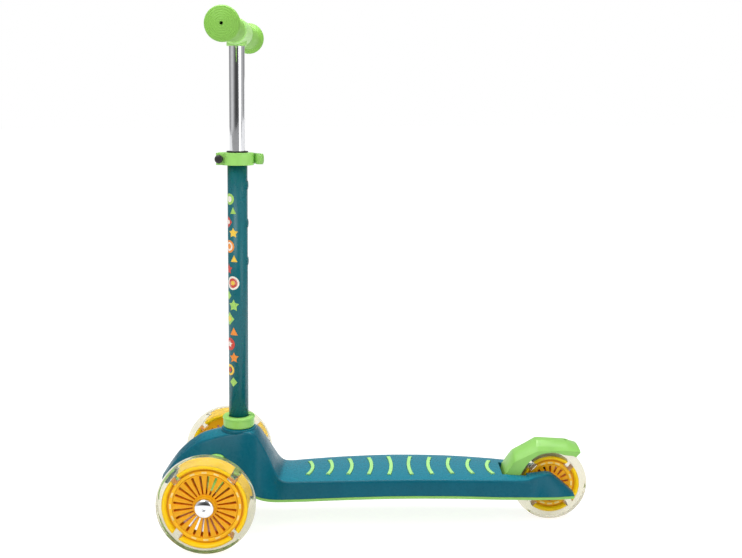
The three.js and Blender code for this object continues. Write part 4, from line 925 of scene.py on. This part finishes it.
def roof_line(level, inset):
    centre = (FENDER_FRONT + FENDER_BACK) / 2
    squeeze = 1 - inset * 2 / (FENDER_FRONT - FENDER_BACK)
    points = []
    for x, z, drop in ROOF:
        px, pz = fender_point(x, z)
        points.append((centre + (px - centre) * squeeze, pz - drop * CHEEK_DROP * level - inset))
    return rounded(points, 2.4, 3, closed=False)


def fender_body(half, outline_at):
    """A solid across the brake, from an outline in X and Z at each level of the cheeks."""
    cheeks = [(half * y, level) for y, level in CHEEKS]
    stations = [(-y, level) for y, level in reversed(cheeks)] + cheeks
    return lofted([[(x, y, z) for x, z in outline_at(level)] for y, level in stations])


def build_fender():
    edge = catmull([fender_point(x, z) for x, z in ARCH], 3)

    def outline(level):
        return roof_line(level, 0) + edge

    def hollow_outline(level):
        roof = roof_line(level, FENDER_WALL)
        return [(roof[0][0], HOLLOW_FOOT)] + roof[1:] + [(roof[-1][0], HOLLOW_FOOT)]

    fender = mesh_piece("brake_mudguard", *fender_body(FENDER_HALF, outline), LEAF, "brake", "green_plastic",
                        ["brake_fender"])
    cut(fender, rod_mesh("tyre_room", TYRE_ROOM, -ROOM_HALF, ROOM_HALF, 96, centre=(REAR_X, 0, REAR_Z)))
    cut(fender, loose_mesh("fender_hollow", *fender_body(FENDER_HALF - FENDER_WALL, hollow_outline)))
    cut(fender, rod_mesh("pin", PIN_ROOM, -30, 30, 32, centre=(PIN_X, 0, PIN_Z)))
    cut(fender, rod_mesh("screw", SCREW_RADIUS, 60, 130, 32, "Z", centre=(SCREW_X, 0, 0)))
    soften(fender, 1.1, 3, 24)


# Print on the stem: plain shapes in bright colours, each a thin skin on the tube

PRINT_INNER, PRINT_OUTER = TUBE_RADIUS - 0.08, TUBE_RADIUS + 0.09
PRINT_LIFT = 0.06
PRINT_MIDDLE = math.radians(52)


def on_tube(along, z, radius):
    """A point on the tube, from its way round the tube and its height."""
    angle = PRINT_MIDDLE + along / TUBE_RADIUS
    return radius * math.cos(angle), radius * math.sin(angle), z


def skin(along, height, outline, inner_share):
    """Closed thin patch inside an outline about a centre, whole or as a band along the outline."""
    steps = 2 if inner_share else 5
    shares = [inner_share + (1 - inner_share) * i / steps for i in range(steps + 1)]
    rows = [(PRINT_INNER, share) for share in shares] + [(PRINT_OUTER, share) for share in reversed(shares)]
    verts = [on_tube(along + s * share, height + z * share, radius)
             for radius, share in rows for s, z in outline]
    return verts, grid_faces(len(rows), len(outline), closed_rows=inner_share > 0)


def cornered(width, height, corners, turn, hollow):
    """A regular shape with the given number of corners; many corners make an oval."""
    points = []
    steps = max(1, 36 // corners)
    for i in range(corners):
        a, b = (2 * math.pi * j / corners + turn for j in (i, i + 1))
        for s in range(steps):
            t = s / steps
            pull = 1 - hollow * math.sin(math.pi * t)
            points.append((width / 2 * pull * (math.cos(a) * (1 - t) + math.cos(b) * t),
                           height / 2 * pull * (math.sin(a) * (1 - t) + math.sin(b) * t)))
    return points


def build_print():
    """Discs, diamonds, triangles and stars in an even zigzag up the stem."""
    # Corners, turn and how far the sides bow in
    oval, diamond = (36, 0.0, 0.0), (4, 0.0, 0.0)
    star, triangle = (5, math.pi / 2, 0.32), (3, math.pi / 2, 0.0)
    # Height, way round the tube, width, height of the shape, shape, inner share of a band, material
    motifs = [
        (436, -2, 15, 15, oval, 0, PRINT_GREEN), (436, -2, 8, 8, oval, 0, PRINT_CREAM),
        (420, 4, 10, 12, triangle, 0, PRINT_GREEN), (406, -4, 13, 15, diamond, 0, PRINT_RED),
        (406, -4, 5, 6, oval, 0, PRINT_CREAM), (392, 4, 14, 14, star, 0, PRINT_YELLOW),
        (374, -3, 17, 17, oval, 0, PRINT_ORANGE), (374, -3, 12, 12, oval, 0.62, PRINT_CREAM),
        (357, 5, 11, 12, triangle, 0, PRINT_YELLOW), (344, -4, 14, 15, star, 0, PRINT_RED),
        (326, 3, 18, 18, oval, 0, PRINT_CREAM), (326, 3, 13, 13, oval, 0, PRINT_RED),
        (326, 3, 6, 6, oval, 0, PRINT_YELLOW), (309, -5, 11, 13, diamond, 0, PRINT_GREEN),
        (296, 4, 16, 17, star, 0, PRINT_GREEN), (278, -3, 16, 18, diamond, 0, PRINT_GREEN),
        (278, -3, 8, 9, diamond, 0, PRINT_YELLOW), (260, 4, 13, 14, triangle, 0, PRINT_ORANGE),
        (244, -3, 17, 17, oval, 0, PRINT_RED), (244, -3, 10, 10, star, 0, PRINT_CREAM),
        (226, 4, 14, 15, star, 0, PRINT_ORANGE), (209, -3, 15, 15, oval, 0.6, PRINT_YELLOW),
        (209, -3, 6, 6, oval, 0, PRINT_RED), (193, 3, 11, 13, diamond, 0, PRINT_GREEN),
    ]
    patches = []
    for i, (z, along, width, height, shape, inner, material) in enumerate(motifs):
        verts, faces = skin(along, z, cornered(width, height, *shape), inner)
        # Each motif lies a little higher than the one before it, so that no two skins coincide
        lift = 1 + PRINT_LIFT * i / len(motifs) / TUBE_RADIUS
        patch = loose_mesh("print", [(x * lift, y * lift, h) for x, y, h in verts], faces, STEM_FRAME)
        patch.data.materials.append(material)
        patches.append(patch)
    with bpy.context.temp_override(active_object=patches[0], selected_editable_objects=patches):
        bpy.ops.object.join()
    patches[0].name = "stem_print"
    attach(patches[0], "chassis")


def small_parts():
    """Nodes whose CAD shape is right get a finish."""
    finishes = [
        (STEEL, ["tie_rod", "kingpin_left", "kingpin_right", "rear_axle", "brake_pin", "brake_spring",
                 "clamp_bolt", "lever_pin", "button_spring", "handle_bar"]),
        (RUBBER, ["centring_bush_left", "centring_bush_right", "brake_shoe"]),
        (BUTTON, ["height_button"]),
    ]
    for material, nodes in finishes:
        for node in nodes:
            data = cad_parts[node].data
            data.materials.clear()
            data.materials.append(material)


# Stage, light and camera: the floor in millimetres, the rest in metres and degrees

FLOOR_HALF = 30000
FLOOR_GREY, FLOOR_GLOW = 0.34, 0.85
ROOM_STRENGTH = 0.8
WHITE_TO, WHITE_FROM = 4, 2
PHOTO_WIDTH, PHOTO_FOCAL, SENSOR = 742, 1020, 36
CAMERA_PLACE, CAMERA_SHIFT = (0.0010, 1.328, 0.551), -0.05
CAMERA_AZIMUTH, CAMERA_TILT, CAMERA_ROLL = 180.1, 90 - 7.42, -0.29


def maths(tree, operation, first, second):
    return add_node(tree, "Math", {0: first, 1: second}, operation=operation).outputs[0]


def any_ray(tree, *names):
    """1 for the named kinds of ray, and 0 for the others."""
    path = add_node(tree, "LightPath")
    value = path.outputs[names[0]]
    for name in names[1:]:
        value = maths(tree, "MAXIMUM", value, path.outputs[name])
    return value


def white_rays(tree):
    """Rays that see the white floor. Reflected ones see it white only up to a little behind the camera."""
    place = add_node(tree, "NewGeometry").outputs["Position"]
    left = add_node(tree, "SeparateXYZ", {0: place}).outputs["Y"]
    near = add_node(tree, "MapRange", {"From Min": WHITE_TO, "From Max": WHITE_FROM, "Value": left})
    reflected = maths(tree, "MULTIPLY", any_ray(tree, "Is Glossy Ray"), near.outputs["Result"])
    return maths(tree, "MAXIMUM", any_ray(tree, "Is Camera Ray", "Is Transmission Ray"), reflected)


def mixed(tree, rays, others, chosen, output):
    """Shows one shader to the chosen rays and another to all others."""
    mix = add_node(tree, "MixShader", {"Fac": rays, 1: others, 2: chosen})
    tree.links.new(mix.outputs[0], output.inputs["Surface"])


def build_floor():
    """A white floor that keeps a soft shadow."""
    corners = [(x * FLOOR_HALF, y * FLOOR_HALF, 0) for x, y in ((-1, -1), (1, -1), (1, 1), (-1, 1))]
    floor = loose_mesh("floor", corners, [(0, 1, 2, 3)])
    material, tree, shader = new_material("white_floor")
    set_inputs(tree, shader, {"Base Color": (0.8, 0.8, 0.8, 1), "Roughness": 0.9, "Specular IOR Level": 0.1})
    shaded = add_node(tree, "BsdfDiffuse", {"Color": (FLOOR_GREY, FLOOR_GREY, FLOOR_GREY, 1)})
    glow = add_node(tree, "Emission", {"Strength": FLOOR_GLOW})
    both = add_node(tree, "AddShader", {0: shaded.outputs[0], 1: glow.outputs[0]})
    mixed(tree, white_rays(tree), shader.outputs[0], both.outputs[0], tree.nodes["Material Output"])
    floor.data.materials.append(material)


def build_room():
    """A room that looks white and lights the scooter in greys, which darken behind the camera."""
    world = bpy.data.worlds.new("studio")
    bpy.context.scene.world = world
    world.use_nodes = True
    tree = world.node_tree
    place = add_node(tree, "TexCoord").outputs["Generated"]
    left = add_node(tree, "SeparateXYZ", {0: place}).outputs["Y"]
    way = add_node(tree, "MapRange", {"From Min": -1, "Value": left}).outputs["Result"]
    greys = [(0, 0.62), (0.26, 0.36), (0.42, 0.6), (0.6, 0.92), (0.78, 0.85), (0.9, 0.4), (0.97, 0.14),
             (1, 0.08)]
    room = tree.nodes["Background"]
    set_inputs(tree, room, {"Color": colour_bands(tree, way, greys), "Strength": ROOM_STRENGTH})
    bright = add_node(tree, "Background", {"Color": (1, 1, 1, 1), "Strength": 1.0})
    seen = any_ray(tree, "Is Camera Ray", "Is Transmission Ray")
    mixed(tree, seen, room.outputs[0], bright.outputs[0], tree.nodes["World Output"])


def area_light(name, place, target, size, power):
    data = bpy.data.lights.new(name, "AREA")
    data.shape = "RECTANGLE"
    data.size, data.size_y = size
    data.energy = power
    light = bpy.data.objects.new(name, data)
    light.location = place
    light.rotation_euler = (Vector(target) - Vector(place)).to_track_quat("-Z", "Y").to_euler()
    bpy.context.scene.collection.objects.link(light)


def build_lamps():
    area_light("key", (0.9, 1.6, 2.0), (0, 0, 0.25), (1.4, 1.4), 27)
    area_light("fill", (-1.6, 1.5, 0.9), (0, 0, 0.3), (1.2, 1.6), 11)
    area_light("top", (0.05, -0.35, 1.8), (0, 0, 0.2), (1.4, 1), 24)


def build_camera():
    """The photo's camera, worked out from the outlines of the wheels, the stem and the deck."""
    data = bpy.data.cameras.new("camera")
    data.sensor_width = SENSOR
    data.lens = PHOTO_FOCAL * SENSOR / PHOTO_WIDTH
    data.shift_y = CAMERA_SHIFT
    camera = bpy.data.objects.new("camera", data)
    camera.matrix_world = Matrix.Translation(CAMERA_PLACE)
    for angle, axis in ((CAMERA_AZIMUTH, "Z"), (CAMERA_TILT, "X"), (CAMERA_ROLL, "Z")):
        camera.matrix_world = camera.matrix_world @ Matrix.Rotation(math.radians(angle), 4, axis)
    bpy.context.scene.collection.objects.link(camera)
    bpy.context.scene.camera = camera
    bpy.context.scene.view_settings.view_transform = "Standard"


# The deck's lighter colour on faces that face up is painted top light
TEAL = plastic("deck_teal", "05586a", 0.28, grain=2000, relief=0.03, gloss=0.15, painted_top_colour="17768a")
GREEN = plastic("leaf_green", "9ad86a", 0.38, subsurface=0.05)
LEAF = plastic("leaf_green_darker", "85bf5a", 0.38, subsurface=0.05)
PALE_GREEN = plastic("leaf_green_paler", "ace57e", 0.38, subsurface=0.05)
STRIP = plastic("strip_green", "9fd884", 0.6, relief=0.2)
GRIP = plastic("grip_green", "84bf4a", 0.55, grain=2200, relief=0.2)
TUBE = plastic("stem_paint", "08606a", 0.3, grain=2600, relief=0.008, edge=0, mottle=0.03, gloss=0.35)
AMBER = amber_plastic("amber", "eaa509", 0.1)
# A brighter yellow painted on the rims as a highlight
PAINTED_RIM_HIGHLIGHT = amber_plastic("amber_painted_rim_highlight", "fbcf14", 0.15)
AMBER_RING = amber_plastic("amber_ring", "f8bc16", 0.2)
# A deeper orange painted on the slot walls as shade
PAINTED_SLOT_SHADE = amber_plastic("amber_painted_slot_shade", "f79a0c", 0.1)
PALE_LIGHT = plastic("pale_lights", "f2d487", 0.3, relief=0.05)
INKS = [("green", "9fce62"), ("red", "c8402f"), ("orange", "e88a2c"), ("yellow", "ecc343"),
        ("cream", "efe9dc")]
PRINT_GREEN, PRINT_RED, PRINT_ORANGE, PRINT_YELLOW, PRINT_CREAM = (
    plastic("print_" + name, colour, 0.36, relief=0.03) for name, colour in INKS)
CLEAR = clear_urethane("clear_urethane")
CHROME = metal("chrome", "e4e5e8", 0.07, scale=300, relief=0.01)
STEEL = metal("zinc_steel", "9a9da1", 0.32, stretch=(1, 8, 1))
BLACK = plastic("black_plastic", "1d1a1c", 0.45)
RUBBER = plastic("dark_rubber", "2a2b2d", 0.7)
BUTTON = plastic("button", "6d3a2c", 0.4)

build_deck()
build_strips()
build_underplate()
refined("axle_housing", "front_arch", GREEN, "chassis", 0.8, within=arch(0, -6))
for side in ("left", "right"):
    refined("knuckle_" + side, "steering_knuckle_" + side, GREEN, "steer_" + side, 0.8,
            angle=50)
build_stem()
build_print()
build_clamp()
build_handle()
build_fender()
build_wheel("front_left", FRONT)
build_wheel("front_right", FRONT)
build_wheel("rear", REAR)
build_axle_bolt("left")
build_axle_bolt("right")
small_parts()
build_floor()
build_room()
build_lamps()
build_camera()
